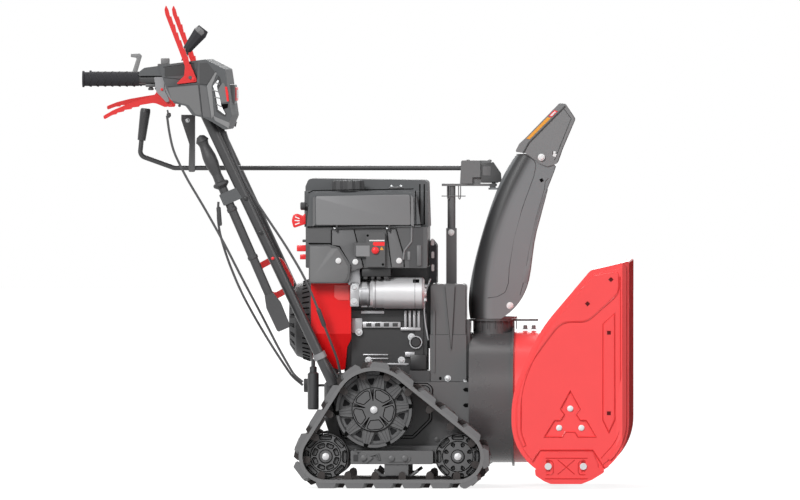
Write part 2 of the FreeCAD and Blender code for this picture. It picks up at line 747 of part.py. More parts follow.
def bucket_shell():
    """One rolled sheet from the scraper up the back to the hood's lip, with the drum's collar."""
    half, wall = S.bucket_width / 2 - S.bucket_wall, S.bucket_wall
    outside = outline_body("intake_outside", intake_outline(), half)
    collar = cylinder("collar_outside", S.drum_radius - 0.5, 90, (intake_rear, 0, S.drum_z), "x")
    inner = inset(intake_outline(), wall)
    lip = (intake_front + 30, inner[1][1] + 30 * 0.24)
    inside = outline_body("intake_inside", [
        (intake_front + 30, inner[0][1]), lip, inner[2], inner[3], inner[4], inner[5]], half + 5)
    mouth = box("intake_mouth", (S.scraper_front, -half - 5, intake_floor - 20),
                (200, 2 * half + 10, 200))
    bore = cylinder("collar_bore", S.drum_radius - S.drum_wall, 120,
                    (intake_rear - 20, 0, S.drum_z), "x")
    seat = box("scraper_seat", (S.scraper_front - S.scraper_length, -half - 5, intake_floor - 20),
               (S.scraper_length + 50, 2 * half + 10, 20 + S.scraper_thick))
    return cut("bucket_sheet", fuse("bucket_solid", outside, collar),
               fuse("bucket_void", inside, mouth, bore, seat))


def skid_shoe(word, side):
    """A slotted wear shoe and the domed heads of the two bolts that hold it."""
    half = S.bucket_width / 2
    low, high = span(side, half, half + S.skid_thick)
    x, z = S.auger_x, S.skid_bottom
    body = slab("skid_shoe_" + word, shifted((x, z), [
        (-86, 21, 6), (-65, 7, 12), (-48, 0, 12), (28, 0, 12), (55, 11, 12), (84, 29, 6),
        (84, 36, 4), (70, 40, 6), (66, 56, 6), (55, 80, 6), (3, 80, 6), (-60, 80, 6),
        (-73, 56, 6), (-78, 40, 6), (-88, 36, 4)]), low, high)
    at, back = face_at(side, half + S.skid_thick)
    heads = []
    for reach in (-0.5, 0.5):
        slot = body.sketch("XZ", at=at)
        slot.outline(shifted((x - 11 + reach * S.skid_bolt_spacing, z + 44), [
            (-5, -17, 4.9), (5, -17, 4.9), (5, 17, 4.9), (-5, 17, 4.9)]))
        body.pocket(slot, S.skid_thick, back=back)
        head = body.sketch("XZ", at=at)
        head.circle(x - 11 + reach * S.skid_bolt_spacing, z + 44, 1.7 * S.skid_bolt_radius)
        heads.append(head)
    for head in heads:
        body.pad(head, 0.8 * S.skid_bolt_radius, back=back)
    return body.made


def bucket():
    for word, side in SIDES:
        node("bucket_side_" + word, bucket_side(word, side))
        node("skid_shoe_" + word, skid_shoe(word, side))
    node("bucket_shell", bucket_shell())
    half = S.bucket_width / 2 - S.bucket_wall
    node("scraper_bar", slab("scraper_bar", [
        (S.scraper_front - S.scraper_length, intake_floor),
        (S.scraper_front, intake_floor), (S.scraper_front, intake_floor + S.scraper_thick - 3),
        (S.scraper_front - 8, intake_floor + S.scraper_thick),
        (S.scraper_front - S.scraper_length, intake_floor + S.scraper_thick)], -half, half).made)


bucket()


# ---------------------------------------------------------------- impeller housing and auger

def impeller_housing():
    """The drum behind the intake, its front flange, and the neck that the chute stands on."""
    depth = intake_rear - S.chassis_front
    inner = S.drum_radius - S.drum_wall
    outside = fuse(
        "drum_solid",
        cylinder("drum_outside", S.drum_radius, depth, (S.chassis_front, 0, S.drum_z), "x"),
        cylinder("drum_flange", S.drum_radius + S.flange_width, 5,
                 (intake_rear - 5, 0, S.drum_z), "x"),
        cylinder("neck_outside", S.neck_radius, S.ring_z - S.drum_z, (S.chute_x, 0, S.drum_z)),
        cylinder("neck_ring", S.ring_radius, S.ring_thick, (S.chute_x, 0, S.ring_z)),
        box("ring_tab", (S.chute_x + 45, -20, S.ring_z), (66, 40, S.ring_thick)))
    void = fuse(
        "drum_void",
        cylinder("drum_inside", inner, depth, (S.chassis_front + S.drum_wall, 0, S.drum_z), "x"),
        cylinder("neck_inside", S.neck_radius - S.drum_wall, S.ring_z + 30 - S.drum_z,
                 (S.chute_x, 0, S.drum_z)),
        cylinder("drum_shaft_hole", S.impeller_shaft + 2, 20, (S.chassis_front - 5, 0, S.drum_z), "x"))
    node("impeller_housing", cut("impeller_drum", outside, void))


def gearbox():
    """The worm gear case that hangs on the auger shaft, with its worm snout reaching back."""
    half, x = S.gearcase_half, S.auger_x
    case = Body("gear_case")
    sketch = case.sketch("YZ", at=x, centre=(0, S.auger_z))
    r = S.gearcase_radius
    sketch.outline([(-half, S.auger_shaft + S.crank_gap), (-half, 28), (-half + 9, 31), (-half + 13, r, 5),
                    (half - 13, r, 5), (half - 9, 31), (half, 28), (half, S.auger_shaft + S.crank_gap)])
    case.revolve(sketch, "H_Axis")
    long, worm = S.worm_case_length, S.worm_case_radius
    snout = Body("worm_case")
    around = snout.sketch("XZ", at=0, centre=(x - long / 2, S.drum_z))
    around.outline([(0, S.impeller_shaft + S.crank_gap), (0, worm - 4), (8, worm), (long - 10, worm),
                    (long, worm - 6), (long, 0), (40, 0), (40, S.impeller_shaft + S.crank_gap)])
    snout.revolve(around, "H_Axis")
    room = cylinder("gear_room", S.auger_shaft + S.crank_gap, 2 * half + 2,
                    (x, -half - 1, S.auger_z), "y")
    worm_room = cylinder("worm_room", S.impeller_shaft + S.crank_gap, 50,
                         (x - long / 2 - 10, 0, S.drum_z), "x")
    node("auger_gearbox", cut("gearbox_case", fuse("gearbox_solid", case.made, snout.made),
                              fuse("gearbox_rooms", room, worm_room)))


def ribbon(side, turn):
    """One toothed spiral flight and its two arms, wound to feed snow towards the middle."""
    radius, wide, half = float(S.auger_radius), float(S.flight_width), float(S.flight_thick) / 2
    pitch, tooth = float(S.auger_pitch), float(S.tooth_height)
    length = float(S.bucket_width) / 2 - float(S.auger_gap) - 12
    teeth = int(length / pitch * float(S.teeth_per_turn))
    rows = []
    for i in range(teeth):
        for share, height in ((0, 0), (0.6, tooth), (0.7, 0)):
            along = (i + share) / teeth * length
            angle = 2 * math.pi * along / pitch
            way = V(math.cos(angle), math.sin(angle), 0)
            outer, inner = radius - tooth + height, radius - wide
            rows.append([way * inner + V(0, 0, along - half), way * outer + V(0, 0, along - half),
                         way * outer + V(0, 0, along + half), way * inner + V(0, 0, along + half)])
    faces = [Part.Face(Part.makePolygon(row + row[:1])) for row in (rows[0], rows[-1])]
    for row, following in zip(rows, rows[1:]):
        for i in range(4):
            j = (i + 1) % 4
            for three in ((row[i], row[j], following[j]), (row[i], following[j], following[i])):
                faces.append(Part.Face(Part.makePolygon([*three, three[0]])))
    shell = Part.makeShell(faces)
    shell.sewShape()
    flight = Part.makeSolid(shell)
    if flight.Volume < 0:
        flight.reverse()
    arms = []
    for share in (0.12, 0.88):
        arm = Part.makeBox(radius - wide / 2, 5, 26, V(0, -2.5, -13))
        arm.rotate(V(), V(0, 0, 1), math.degrees(2 * math.pi * length * share / pitch))
        arm.translate(V(0, 0, length * share))
        arms.append(arm)
    made = flight.multiFuse(arms)
    made.rotate(V(), V(0, 0, 1), turn)
    made.rotate(V(), V(1, 0, 0), -90)
    if side < 0:
        made = made.mirror(V(), V(0, 1, 0))
    made.translate(V(float(S.auger_x), side * float(S.auger_gap), float(S.auger_z)))
    return made


def auger():
    half = S.bucket_width / 2 - S.bucket_wall - 2
    shaft = cylinder("auger_axle", S.auger_shaft, 2 * half, (S.auger_x, -half, S.auger_z), "y")
    pieces = [shaft]
    for word, side in SIDES:
        low, high = span(side, S.gearcase_half + 4, half - 4)
        pieces.append(cylinder("auger_tube_" + word, S.auger_shaft + 5, high - low,
                               (S.auger_x, low, S.auger_z), "y"))
        for turn in (0, 180):
            pieces.append(shape(f"auger_ribbon_{word}_{turn}", ribbon(side, turn)))
    node("auger", fuse("auger_reel", *pieces))


def impeller():
    """Four blades on a hub, and the shaft that the auger's gearbox takes its drive from."""
    body = Body("impeller_rotor")
    back = S.chassis_front + S.drum_wall + 6
    centre = (0, S.drum_z)
    disc = body.sketch("YZ", at=back, centre=centre).circle(0, 0, 66)
    body.pad(disc, 4)
    hub = body.sketch("YZ", at=back, centre=centre).circle(0, 0, 24)
    body.pad(hub, 62)
    shaft = body.sketch("YZ", at=S.chassis_front + 1, centre=centre).circle(0, 0, S.impeller_shaft)
    body.pad(shaft, S.auger_x - S.worm_case_length / 2 + 36 - S.chassis_front - 1)
    blade = body.sketch("YZ", at=back + 2, centre=centre)
    r = S.impeller_radius
    blade.outline([(-2, 18), (2, 18), (2, r - 22, 8), (17, r - 10), (16, r - 7), (11, r - 4),
                   (-2, r - 16, 8)])
    first = body.pad(blade, intake_rear - back - 10)
    body.around(first, blade, 4)
    node("impeller", body.made)


impeller_housing()
gearbox()
auger()
impeller()


# ---------------------------------------------------------------- chute

chute_floor = S.ring_z + S.ring_thick + S.chute_gap


def channel(body, z, back, front, half, corner):
    """A level slice of the chute: a U of sheet, open to the front."""
    wall = S.chute_wall
    half, corner = as_size(half), as_size(corner)
    sketch = body.sketch("XY", at=z)
    return sketch.outline([
        (front, half), (back, half, corner), (back, -half, corner), (front, -half),
        (front, -half + wall), (back + wall, -half + wall, corner - wall),
        (back + wall, half - wall, corner - wall), (front, half - wall)])


def chute():
    body = Body("chute_channel")
    x, r = S.chute_x, S.ring_radius
    rise = S.chute_top - chute_floor
    body.loft([
        channel(body, chute_floor, x - r, x + 20, r, r - 1),
        channel(body, chute_floor + 0.20 * rise, x - r, x + 84, r, r - 2),
        channel(body, chute_floor + 0.46 * rise, x - r + 25, x + 99, r + 2, 42),
        channel(body, chute_floor + 0.72 * rise, x - r + 60, x + 125, r + 3, 36),
        channel(body, S.chute_top, x - r + 123, x + 162, r + 3, 30)])
    px, pz = S.deflector_x, S.deflector_z
    trim = body.sketch("XZ", at=r + 20)
    trim.outline([(x, S.chute_top - 8), (px - 16, S.chute_top - 8), (px - 12, S.chute_top + 1),
                  (px + 14, S.chute_top + 1), (px + 16, pz - 8, 12), (px + 37, pz - 30),
                  (px + 90, pz - 30), (px + 90, S.chute_top + 30), (x, S.chute_top + 30)])
    body.pocket(trim, 2 * r + 40, back=True)
    pins = []
    for word, side in SIDES:
        inner = r + 3 - S.chute_wall
        low, high = span(side, inner, inner + 2 * S.chute_wall + S.deflector_gap + 4)
        pins.append(cylinder("deflector_pin_" + word, S.deflector_bolt, high - low,
                             (px, low, pz), "y"))
    foot = cut("chute_foot",
               cylinder("chute_foot_disc", r, 5, (x, 0, chute_floor)),
               cylinder("chute_foot_hole", S.neck_radius, 20, (x, 0, chute_floor - 5)))
    ear = slab("chute_ear", [(x - 13, -13, 12), (x + 34, -24), (x + 34, 24), (x - 13, 13, 12)],
               S.shelf_z - 9, S.shelf_z - 4, plane="XY")
    pin = cylinder("chute_pin", S.chute_pin, 24, (x, 0, S.shelf_z - 9))
    node("chute", fuse("chute_assembly", body.made, foot, ear.made, pin, *pins))


def deflector():
    """The hood at the chute's top: two cheeks and a back, open below and to the front."""
    x, z = S.deflector_x, S.deflector_z
    half = S.ring_radius + 3 + S.deflector_gap + S.deflector_wall
    outline = shifted((x, z), [
        (-67, 12, 3), (-57, 32, 12), (-39, 49, 30), (43, 133, 3), (57, 131, 4), (82, 94, 10),
        (50, 19, 60), (37, -18, 14), (12, -25, 12), (-4, -18, 10), (-40, 8)])
    body = slab("deflector_shell", outline, -half, half)
    inside = body.sketch("XZ", at=half - S.deflector_wall)
    inside.outline(shifted((x, z), [
        (-40, -60), (-64.5, 8), (-54.5, 30, 10), (-36.5, 47, 27), (46, 131), (70, 150), (120, 120),
        (120, -60)]))
    body.pocket(inside, 2 * (half - S.deflector_wall), back=True)
    square = body.sketch("XZ", at=half)
    square.outline(shifted((x + 30, z + 8), [(-4, -5), (4, -5), (4, 5), (-4, 5)]))
    body.pocket(square, 2 * half, back=True)
    bolt = body.sketch("XZ", at=half).circle(x, z, S.deflector_bolt + S.pin_gap)
    body.pocket(bolt, 2 * half, back=True)
    node("deflector", body.made)


def gear_head():
    """The mast on the belt cover, its shelf, and the gear case that turns the chute."""
    size, x = S.post_size, S.post_x
    post = box("mast_lower", (x - size / 2, -size / 2, S.cover_top),
               (size, size, S.post_top - S.cover_top))
    upper = cylinder("mast_upper", S.mast_size / 2, S.shelf_z - S.post_top, (x, 0, S.post_top))
    node("mast", fuse("mast_tubes", post, upper))
    half, top = S.head_half, S.head_top
    floor = S.shelf_z + S.shelf_thick
    shelf = slab("gear_shelf", [(x - 24, -13, 5), (x + 28, -13, 5), (x + 40, -9, 5),
                                (S.chute_x + 8, -7.5, 6), (S.chute_x + 8, 7.5, 6), (x + 40, 9, 5),
                                (x + 28, 13, 5), (x - 24, 13, 5)], S.shelf_z, floor, plane="XY")
    rear = S.head_rear
    case = slab("gear_case_block", [
        (rear - 1, floor), (rear + S.head_length, floor), (rear + S.head_length, top),
        (rear + 2, top, 4)], -half, half)
    nose = case.sketch("XZ", at=half - 4)
    nose.outline([(rear + S.head_length - 2, floor + 2), (rear + 95, floor + 2, 2),
                  (rear + 95, floor + 20, 4), (rear + 74, top, 4), (rear + S.head_length - 2, top)])
    case.pad(nose, 2 * (half - 4))
    recess = case.sketch("XZ", at=half - 4)
    recess.outline([(rear + S.head_length + 7, floor + 18, 2), (rear + 70, floor + 18, 2),
                    (rear + 70, top - 12, 2), (rear + S.head_length + 7, top - 12, 2)])
    case.pocket(recess, 4, back=True)
    hole = cylinder("chute_pin_bore", S.chute_pin + S.chute_pin_gap, 40, (S.chute_x, 0, S.shelf_z - 20))
    reliefs = [box("head_relief_" + word, (rear + 30, low, floor), (90, high - low, S.head_throat))
               for word, low, high in (("right", -half - 1, -5), ("left", 5, half + 1))]
    axle = cylinder("crank_bore", S.crank_radius + S.crank_gap, 30, (rear - 5, 0, S.crank_z), "x")
    node("chute_gear_head", cut("gear_head_case", fuse("gear_head_solid", shelf.made, case.made),
                                fuse("gear_head_bores", hole, axle, *reliefs)))


def chute_crank():
    """The cranked rod from the gear head back to the operator, with its turning grip."""
    start = (S.head_rear + 20, 0, S.crank_z)
    turn, top = S.crank_turn_x, S.crank_grip_z + 20
    bar = rod([start, (S.crank_knee_x, 0, S.crank_z), (turn, 0, S.crank_turn_z), (turn + 6, 0, top)],
              float(S.crank_radius), 16)
    grip = Body("crank_grip")
    sketch = grip.sketch("XZ", at=0)
    sketch.outline([(0, 0), (10, 0), (10.5, 8), (13, S.crank_grip_length - 10, 6),
                    (12, S.crank_grip_length, 4), (0, S.crank_grip_length)])
    grip.revolve(sketch)
    grip.made.Placement = FreeCAD.Placement(V(), FreeCAD.Rotation(V(0, 1, 0), 7.5))
    bind(grip.made, "Placement.Base.x", turn + 4)
    bind(grip.made, "Placement.Base.z", S.crank_grip_z)
    node("chute_crank", fuse("crank_and_grip", shape("crank_rod", bar), grip.made))


chute()
deflector()
gear_head()
chute_crank()


# ---------------------------------------------------------------- handles, console, levers

def handle_line(distance_down):
    """A point on the sloping run of the handles, some way down from the knee."""
    x, y, z = (float(S.handle_knee_x - S.foot_x), float(S.handle_half - S.foot_half),
               float(S.grip_z - S.foot_z))
    share = distance_down / math.sqrt(x * x + y * y + z * z)
    return (S.handle_knee_x - x * share, S.handle_half - y * share, S.grip_z - z * share)


HANDLE_RUN = math.dist((float(S.handle_knee_x), float(S.handle_half), float(S.grip_z)),
                       (float(S.foot_x), float(S.foot_half), float(S.foot_z)))


def handles():
    r, wall = float(S.tube_radius), float(S.tube_wall)
    sleeves, brackets = [], []
    for word, side in SIDES:
        tube = rod([(S.foot_x, side * S.foot_half, S.foot_z),
                    (S.handle_knee_x, side * S.handle_half, S.grip_z),
                    (S.grip_end + 8, side * S.handle_half, S.grip_z)], r, 45, r - wall)
        ends = [handle_line(d) for d in (HANDLE_RUN - 86, HANDLE_RUN - 71)]
        clamp = rod([(x, side * y, z) for x, y, z in ends], r + 3.5, 1, r)
        node("handle_tube_" + word, shape("handle_tube_" + word, tube))
        sleeves.append(clamp)
        grip = Body("grip_" + word)
        profile = grip.sketch("XZ", at=side * S.handle_half, centre=(S.grip_end, S.grip_z))
        long, thick = S.grip_length, S.grip_radius
        profile.outline([(0, 0), (0, thick + 3, 1.5), (5, thick + 3, 1.5), (6, thick), (long, thick),
                         (long, S.tube_radius), (8, S.tube_radius), (8, 0)])
        grip.revolve(profile, "H_Axis")
        node("grip_" + word, grip.made)
        low, high = span(side, S.chassis_half + S.panel_raise, S.foot_half - S.tube_radius)
        brackets.append(slab("handle_bracket_" + word, shifted((S.foot_x, S.foot_z), [
            (-16, -42, 10), (22, -48, 10), (28, -6, 8), (-22, 76, 8), (-46, 70, 8), (-18, 10, 8)]),
            low, high).made)
    node("handle_brackets", fuse("handle_brackets", *brackets))
    clamps = fuse("handle_clamps", *[shape("clamp_ring", c) for c in sleeves])
    node("handle_clamps", clamps)


def console():
    """The dash across the handles, with a bay for each tube and a slot for each clutch lever."""
    half, x, z = S.handle_half + S.console_margin, S.handle_knee_x, S.grip_z
    outline = shifted((x, z), [
        (-56, -20, 6), (-75, 34, 8), (10, 45, 4), (43, 49, 6), (92, 24, 4), (96, -2, 6),
        (109, -91, 8), (94, -128, 4), (62, -108, 6), (42, -97, 4), (11, -90, 10), (-6, -67, 8),
        (-36, -60, 8)])
    body = slab("console_shell", outline, -half, half)
    bay = S.tube_radius + 3
    for word, side in SIDES:
        low, high = span(side, S.handle_half - bay - 17, S.handle_half + bay + 3)
        hood = body.sketch("XZ", at=high)
        hood.outline(shifted((x, z), [
            (-123, 8), (-123, 18, 3), (-110, 28, 8), (-66, 34, 8), (-30, 34), (-30, 8)]))
        body.pad(hood, high - low)
        low, high = span(side, S.handle_half - bay - 14, S.handle_half + bay)
        tube = body.sketch("XZ", at=high)
        tube.outline(shifted((x, z), [
            (-140, -17, 2), (-140, 17, 2), (10, 17, 20), (88, -150, 2), (42, -150, 2), (-16, -24, 12),
            (-30, -17, 6)]))
        body.pocket(tube, high - low, back=True)
        low, high = span(side, half - S.cheek_thick - S.slot_width, half - S.cheek_thick)
        lever = body.sketch("XZ", at=high)
        lever.outline(shifted((x, z), [
            (-120, -30, 2), (-120, 140, 2), (26, 140, 2), (36, 30, 6), (38, -34, 10), (14, -50, 12),
            (-24, -46, 10), (-40, -30, 6)]))
        body.pocket(lever, high - low, back=True)
        low, high = span(side, half - S.cheek_thick - 1, half + 1)
        cheek = body.sketch("XZ", at=high)
        cheek.outline(shifted((x, z), [
            (-140, -14, 2), (-54, -19, 2), (22, -9, 2), (28, 80, 2), (-140, 80, 2)]))
        body.pocket(cheek, high - low, back=True)
    pins = []
    for word, side in SIDES:
        low, high = span(side, half - S.cheek_thick - S.slot_width, half - S.cheek_thick)
        pins.append(cylinder("lever_pin_" + word, S.pin_radius, high - low,
                             (S.lever_x, low, S.lever_z), "y"))
    node("console", fuse("console_and_pins", body.made, *pins))
    strap = slab("crank_strap", shifted((x, S.crank_z), [
        (-8, -10, 4), (8, -10, 4), (8, 133), (-26, 133), (-26, 120), (-6, 60, 6)]), -14, 14)
    hole = strap.sketch("YZ", at=x - 40, centre=(0, S.crank_z))
    hole.circle(0, 0, S.crank_radius + S.crank_gap)
    strap.pocket(hole, 80, back=True)
    node("crank_bracket", strap.made)
    stem = slab("speed_stem", shifted((x, z), [(-24, 45), (-12, 46.5), (-2, 74), (-12, 78)]),
                -78, -70)
    knob = Body("speed_knob")
    ring = [(19 * math.cos(math.radians(a)), 15 * math.sin(math.radians(a)), 3)
            for a in range(22, 382, 45)]
    thin = [(0.62 * a, 0.62 * b, 2) for a, b, _ in ring]
    knob.loft([knob.sketch("XY", at=0).outline(thin), knob.sketch("XY", at=54).outline(ring),
               knob.sketch("XY", at=68).outline([(0.8 * a, 0.8 * b, 2) for a, b, _ in ring])],
              ruled=True)
    knob.made.Placement = FreeCAD.Placement(V(), FreeCAD.Rotation(V(0, 1, 0), 38))
    for axis, value in zip("xyz", (x - 10, as_size(-74), z + 72)):
        bind(knob.made, f"Placement.Base.{axis}", value)
    node("speed_lever", fuse("speed_lever", stem.made, knob.made))


def levers():
    brackets = []
    for word, side in SIDES:
        x, z = S.lever_x, S.lever_z
        middle = S.handle_half + S.console_margin - S.cheek_thick - S.slot_width / 2
        low, high = span(side, middle - S.lever_width / 2, middle + S.lever_width / 2)
        lever = slab("clutch_lever_" + word, shifted((x, z), [
            (-36, -17, 2), (17, -11, 3), (15, -1, 3), (3, 27, 12), (1, 33), (-2, 33), (-5, 53), (-8, 53),
            (-14, 73), (-17, 73), (-23, 93), (-26, 93), (-31, 112), (-34, 112), (-38, 132), (-41, 132),
            (-47, 152), (-50, 152), (-54, 168, 8), (-60, 180, 1), (-64, 170, 8), (-62, 157, 20),
            (-13, 28, 14), (-15, 4, 8)]), low, high)
        hole = lever.sketch("XZ", at=high + 1)
        hole.circle(x, z, S.pin_radius + S.pin_gap)
        lever.pocket(hole, S.lever_width + 2, back=True)
        node("clutch_lever_" + word, lever.made)
        x, z = S.trigger_x, S.trigger_z
        wide = S.trigger_width / 2
        low, high = span(side, S.handle_half - wide, S.handle_half + wide)
        trigger = slab("steering_trigger_" + word, [
            (-2, 8, 4), (-12, -12, 16), (-49, -24, 60), (-87, -37, 60), (-117, -50, 60), (-141, -64, 4),
            (-138, -73, 3), (-117, -61, 30), (-108, -60), (-105, -56), (-90, -53), (-87, -49), (-71, -47),
            (-68, -43), (-52, -41), (-49, -37), (-13, -31, 30), (13, -42, 8), (29, -39, 4),
            (28, -29, 4), (20, -27, 6), (10, 6, 4)], low, high)
        hole = trigger.sketch("XZ", at=high + 1)
        hole.circle(0, 0, S.pin_radius + S.pin_gap)
        trigger.pocket(hole, 2 * wide + 2, back=True)
        lift = float(S.left_trigger_lift) if side > 0 else 0
        trigger.made.Placement = FreeCAD.Placement(V(), FreeCAD.Rotation(V(0, 1, 0), lift))
        bind(trigger.made, "Placement.Base.x", x)
        bind(trigger.made, "Placement.Base.z", z)
        node("steering_trigger_" + word, trigger.made)
        for reach in (-1, 1):
            faces = (S.handle_half + reach * S.tube_radius, S.handle_half + reach * (S.tube_radius + 3))
            brackets.append(slab(f"lever_bracket_{word}_{2 + reach}", shifted((x, z), [
                (-14, 33, 3), (14, 33, 3), (11, 4, 8), (25, -27, 3), (17, -30, 3), (-8, -4, 8)]),
                *sorted((side * f for f in faces), key=float)).made)
        low, high = span(side, S.handle_half - S.tube_radius, S.handle_half + S.tube_radius)
        brackets.append(cylinder("trigger_pin_" + word, S.pin_radius, high - low, (x, low, z), "y"))
    node("lever_brackets", fuse("lever_brackets", *brackets))


handles()
console()
levers()


# ---------------------------------------------------------------- engine

def louvre(body, plane, at, corners, depth, back, steps):
    """Cuts one slot several times, moved along by each step."""
    for step in steps:
        slot = body.sketch(plane, at=at)
        slot.outline([(c[0] + step[0], c[1] + step[1], *c[2:]) for c in corners])
        body.pocket(slot, depth, back=back)


def engine_block():
    rear, front = S.blower_front, S.engine_front
    foot, axis = S.engine_foot_z, S.crank_axis_z
    node("engine_base", slab("engine_base", [
        (rear - 40, S.chassis_top), (S.cover_rear, S.chassis_top), (S.cover_rear, foot, 2),
        (front - 44, foot, 2), (front - 44, foot - 8), (rear - 40, foot - 8, 2)], -112, 112).made)
    block = slab("crankcase_block", [
        (rear, foot - 8), (front - 44, foot - 8), (front - 44, foot), (front, foot), (front, foot + 150, 16),
        (rear, foot + 150)], -98, 98)
    ribs = block.sketch("XZ", at=104)
    ribs.outline([(front - 30, foot + 10, 4), (front - 10, foot + 10, 4), (front - 10, foot + 140, 4),
                  (front - 30, foot + 140, 4)])
    block.pad(ribs, 208)
    filler = block.sketch("XZ", at=-98)
    filler.circle(front - 28, axis - 54, 14)
    block.pad(filler, 12)
    shelf = block.sketch("XZ", at=102)
    shelf.outline([(rear + 20, axis - 2, 4), (front - 40, axis - 2, 4), (front - 40, axis + 10, 4),
                   (rear + 20, axis + 10, 4)])
    block.pad(shelf, 204)
    node("crankcase", block.made)
    node("cylinder_block", slab("cylinder_block", [
        (rear, foot + 150), (front, foot + 150), (front, S.engine_skirt_z), (rear, S.engine_skirt_z)],
        -76, 96).made)
    shell = slab("blower_shell", [
        (S.blower_rear, axis - 15, 20), (S.blower_rear + 24, axis - 110, 14), (rear - 16, axis - 126, 8),
        (rear - 10, axis - 66, 10), (rear, axis - 46, 10), (rear, S.blower_top),
        (S.blower_rear, S.blower_top)],
        -138, 138)
    for corner in (-1, 1):
        side_cut = shell.sketch("YZ", at=rear + 5)
        side_cut.outline(shifted((0, axis), [
            (corner * 150, -30), (corner * 139, -30), (corner * 96, -135), (corner * 150, -135)]))
        shell.pocket(side_cut, 120)
    node("blower_housing", shell.made)


def recoil_starter():
    """The pull starter's louvred cover, and the loop handle of its rope."""
    rear, front, axis = S.recoil_rear, S.blower_rear, S.crank_axis_z
    body = Body("recoil_cover")
    profile = body.sketch("XZ", at=0, centre=(rear, axis))
    deep = front - rear
    profile.outline([(0, 0), (0, 62, 4), (18, 90, 8), (deep, 104), (deep, 0)])
    body.revolve(profile, "H_Axis")
    slot = body.sketch("YZ", at=rear, centre=(0, axis), turn=9)
    slot.outline([(-4, 66, 2), (4, 66, 2), (6, 84, 2), (-6, 84, 2)])
    first = body.pocket(slot, 22, back=True)
    body.around(first, slot, 20)
    node("recoil_starter", body.made)
    loop = Body("recoil_loop")
    plate = loop.sketch("XZ", at=-52)
    plate.outline([(-38, -50, 16), (38, -50, 30), (38, 50, 30), (-38, 50, 16)])
    loop.pad(plate, 22)
    hole = loop.sketch("XZ", at=-50)
    hole.outline([(-24, -34, 10), (22, -34, 18), (22, 34, 18), (-24, 34, 10)])
    loop.pocket(hole, 40, back=True)
    loop.made.Placement = FreeCAD.Placement(V(), FreeCAD.Rotation(V(0, 1, 0), -28))
    bind(loop.made, "Placement.Base.x", rear - 34)
    bind(loop.made, "Placement.Base.z", axis + 108)
    node("recoil_handle", loop.made)


def engine_covers():
    """The snow hood over the engine: a lower skirt, the tank's cover above it, and what is on them."""
    rear, front = S.engine_rear, S.engine_front
    right, left = S.engine_right, S.engine_left
    skirt, seam, top = S.engine_skirt_z, S.engine_seam_z, S.engine_hood_z
    lower = slab("engine_skirt", [
        (rear + 4, skirt, 4), (front + 2, skirt, 4), (front + 2, seam), (rear + 4, seam)],
        -(right - 4), left - 4)
    corner = lower.sketch("XZ", at=-(right - 4))
    corner.outline([(rear + 12, seam - 45, 4), (S.blower_front - 46, seam - 45, 6),
                    (S.blower_front - 28, seam - 51, 10), (S.blower_front, seam - 94, 14),
                    (S.blower_front - 4, S.blower_top, 18), (rear + 12, S.blower_top, 4)])
    lower.pad(corner, 10)
    back = lower.sketch("XZ", at=-(right - 34))
    back.outline([(rear + 12, skirt + 2), (S.blower_front - 4, skirt + 2),
                  (S.blower_front - 4, S.blower_top, 4), (rear + 12, S.blower_top, 4)])
    lower.pad(back, 34)
    node("engine_lower_cover", lower.made)
    upper = slab("engine_hood", [
        (rear, seam), (front + 4, seam, 2), (front, top - 4, 10), (rear + 8, top, 12),
        (rear, top - 20, 8)], -(right - 34), left)
    side = upper.sketch("XZ", at=-(right - 34))
    side.outline([(rear + 6, seam), (front - 14, seam), (front - 26, top - 34, 12),
                  (rear + 14, top - 34, 12)])
    upper.pad(side, 34)
    panel = upper.sketch("XZ", at=-right)
    panel.outline([(rear + 22, seam + 6, 3), (front - 38, seam + 6, 3), (front - 42, top - 46, 8),
                   (rear + 22, top - 46, 8)])
    upper.pad(panel, 4)
    ledge = upper.sketch("XY", at=top - 31)
    ledge.outline([(rear - 5, -(right + 20)), (front + 15, -(right + 20)), (front + 15, -62),
                   (rear - 5, -62)])
    upper.pocket(ledge, 40, back=True)
    node("engine_top_cover", upper.made)
    cap = Body("fuel_cap_body")
    seat = top - 31
    flutes = [(S.fuel_cap_radius * (1 if i % 2 else 0.9) * math.cos(math.pi * i / 12),
               S.fuel_cap_radius * (1 if i % 2 else 0.9) * math.sin(math.pi * i / 12), 2)
              for i in range(24)]
    cap.pad(cap.sketch("XY", at=seat, centre=(-23, -112)).outline(flutes), 26)
    node("fuel_cap", cap.made)
    box_ = slab("control_box_case", [
        (-5, 576, 3), (24, 576), (24, 550, 4), (71, 550, 4), (71, 636, 4), (24, 636, 4), (24, 610),
        (-5, 610, 3)], -(right + 10), -(right - 4))
    button = box_.sketch("XZ", at=-(right + 10))
    button.circle(47, 591, 7.6)
    box_.pad(button, 5)
    node("engine_control_box", box_.made)
    guard = slab("guard_sheet", [
        (front + 6, S.cover_top + 2), (front + 22, S.cover_top + 2), (front + 22, seam - 46, 12),
        (front + 6, seam - 26, 4)], -70, 110)
    louvre(guard, "YZ", front + 30, [(-62, 524, 3), (-54, 524, 3), (-54, 600, 3), (-62, 600, 3)],
           12, False, [(18 * i, 0) for i in range(9)])
    node("muffler_guard", guard.made)


def starter_motor():
    body = Body("starter_can")
    front, long = S.starter_front, 128
    r = S.starter_radius
    can = body.sketch("XZ", at=-S.starter_y, centre=(front - long, S.starter_z))
    rear = S.blower_front - (front - long)
    can.outline([(rear, 0), (rear, 22, 3), (rear + 12, 28, 3), (-8, 28), (-8, r - 7, 3), (0, r - 2),
                 (28, r - 2),
                 (28, r), (long - 5, r), (long, r - 5), (long, 14), (long + 5, 12), (long + 5, 0)])
    body.revolve(can, "H_Axis")
    node("starter_motor", body.made)


engine_block()
recoil_starter()
engine_covers()
starter_motor()


# ---------------------------------------------------------------- clean-out tool, strut, cables

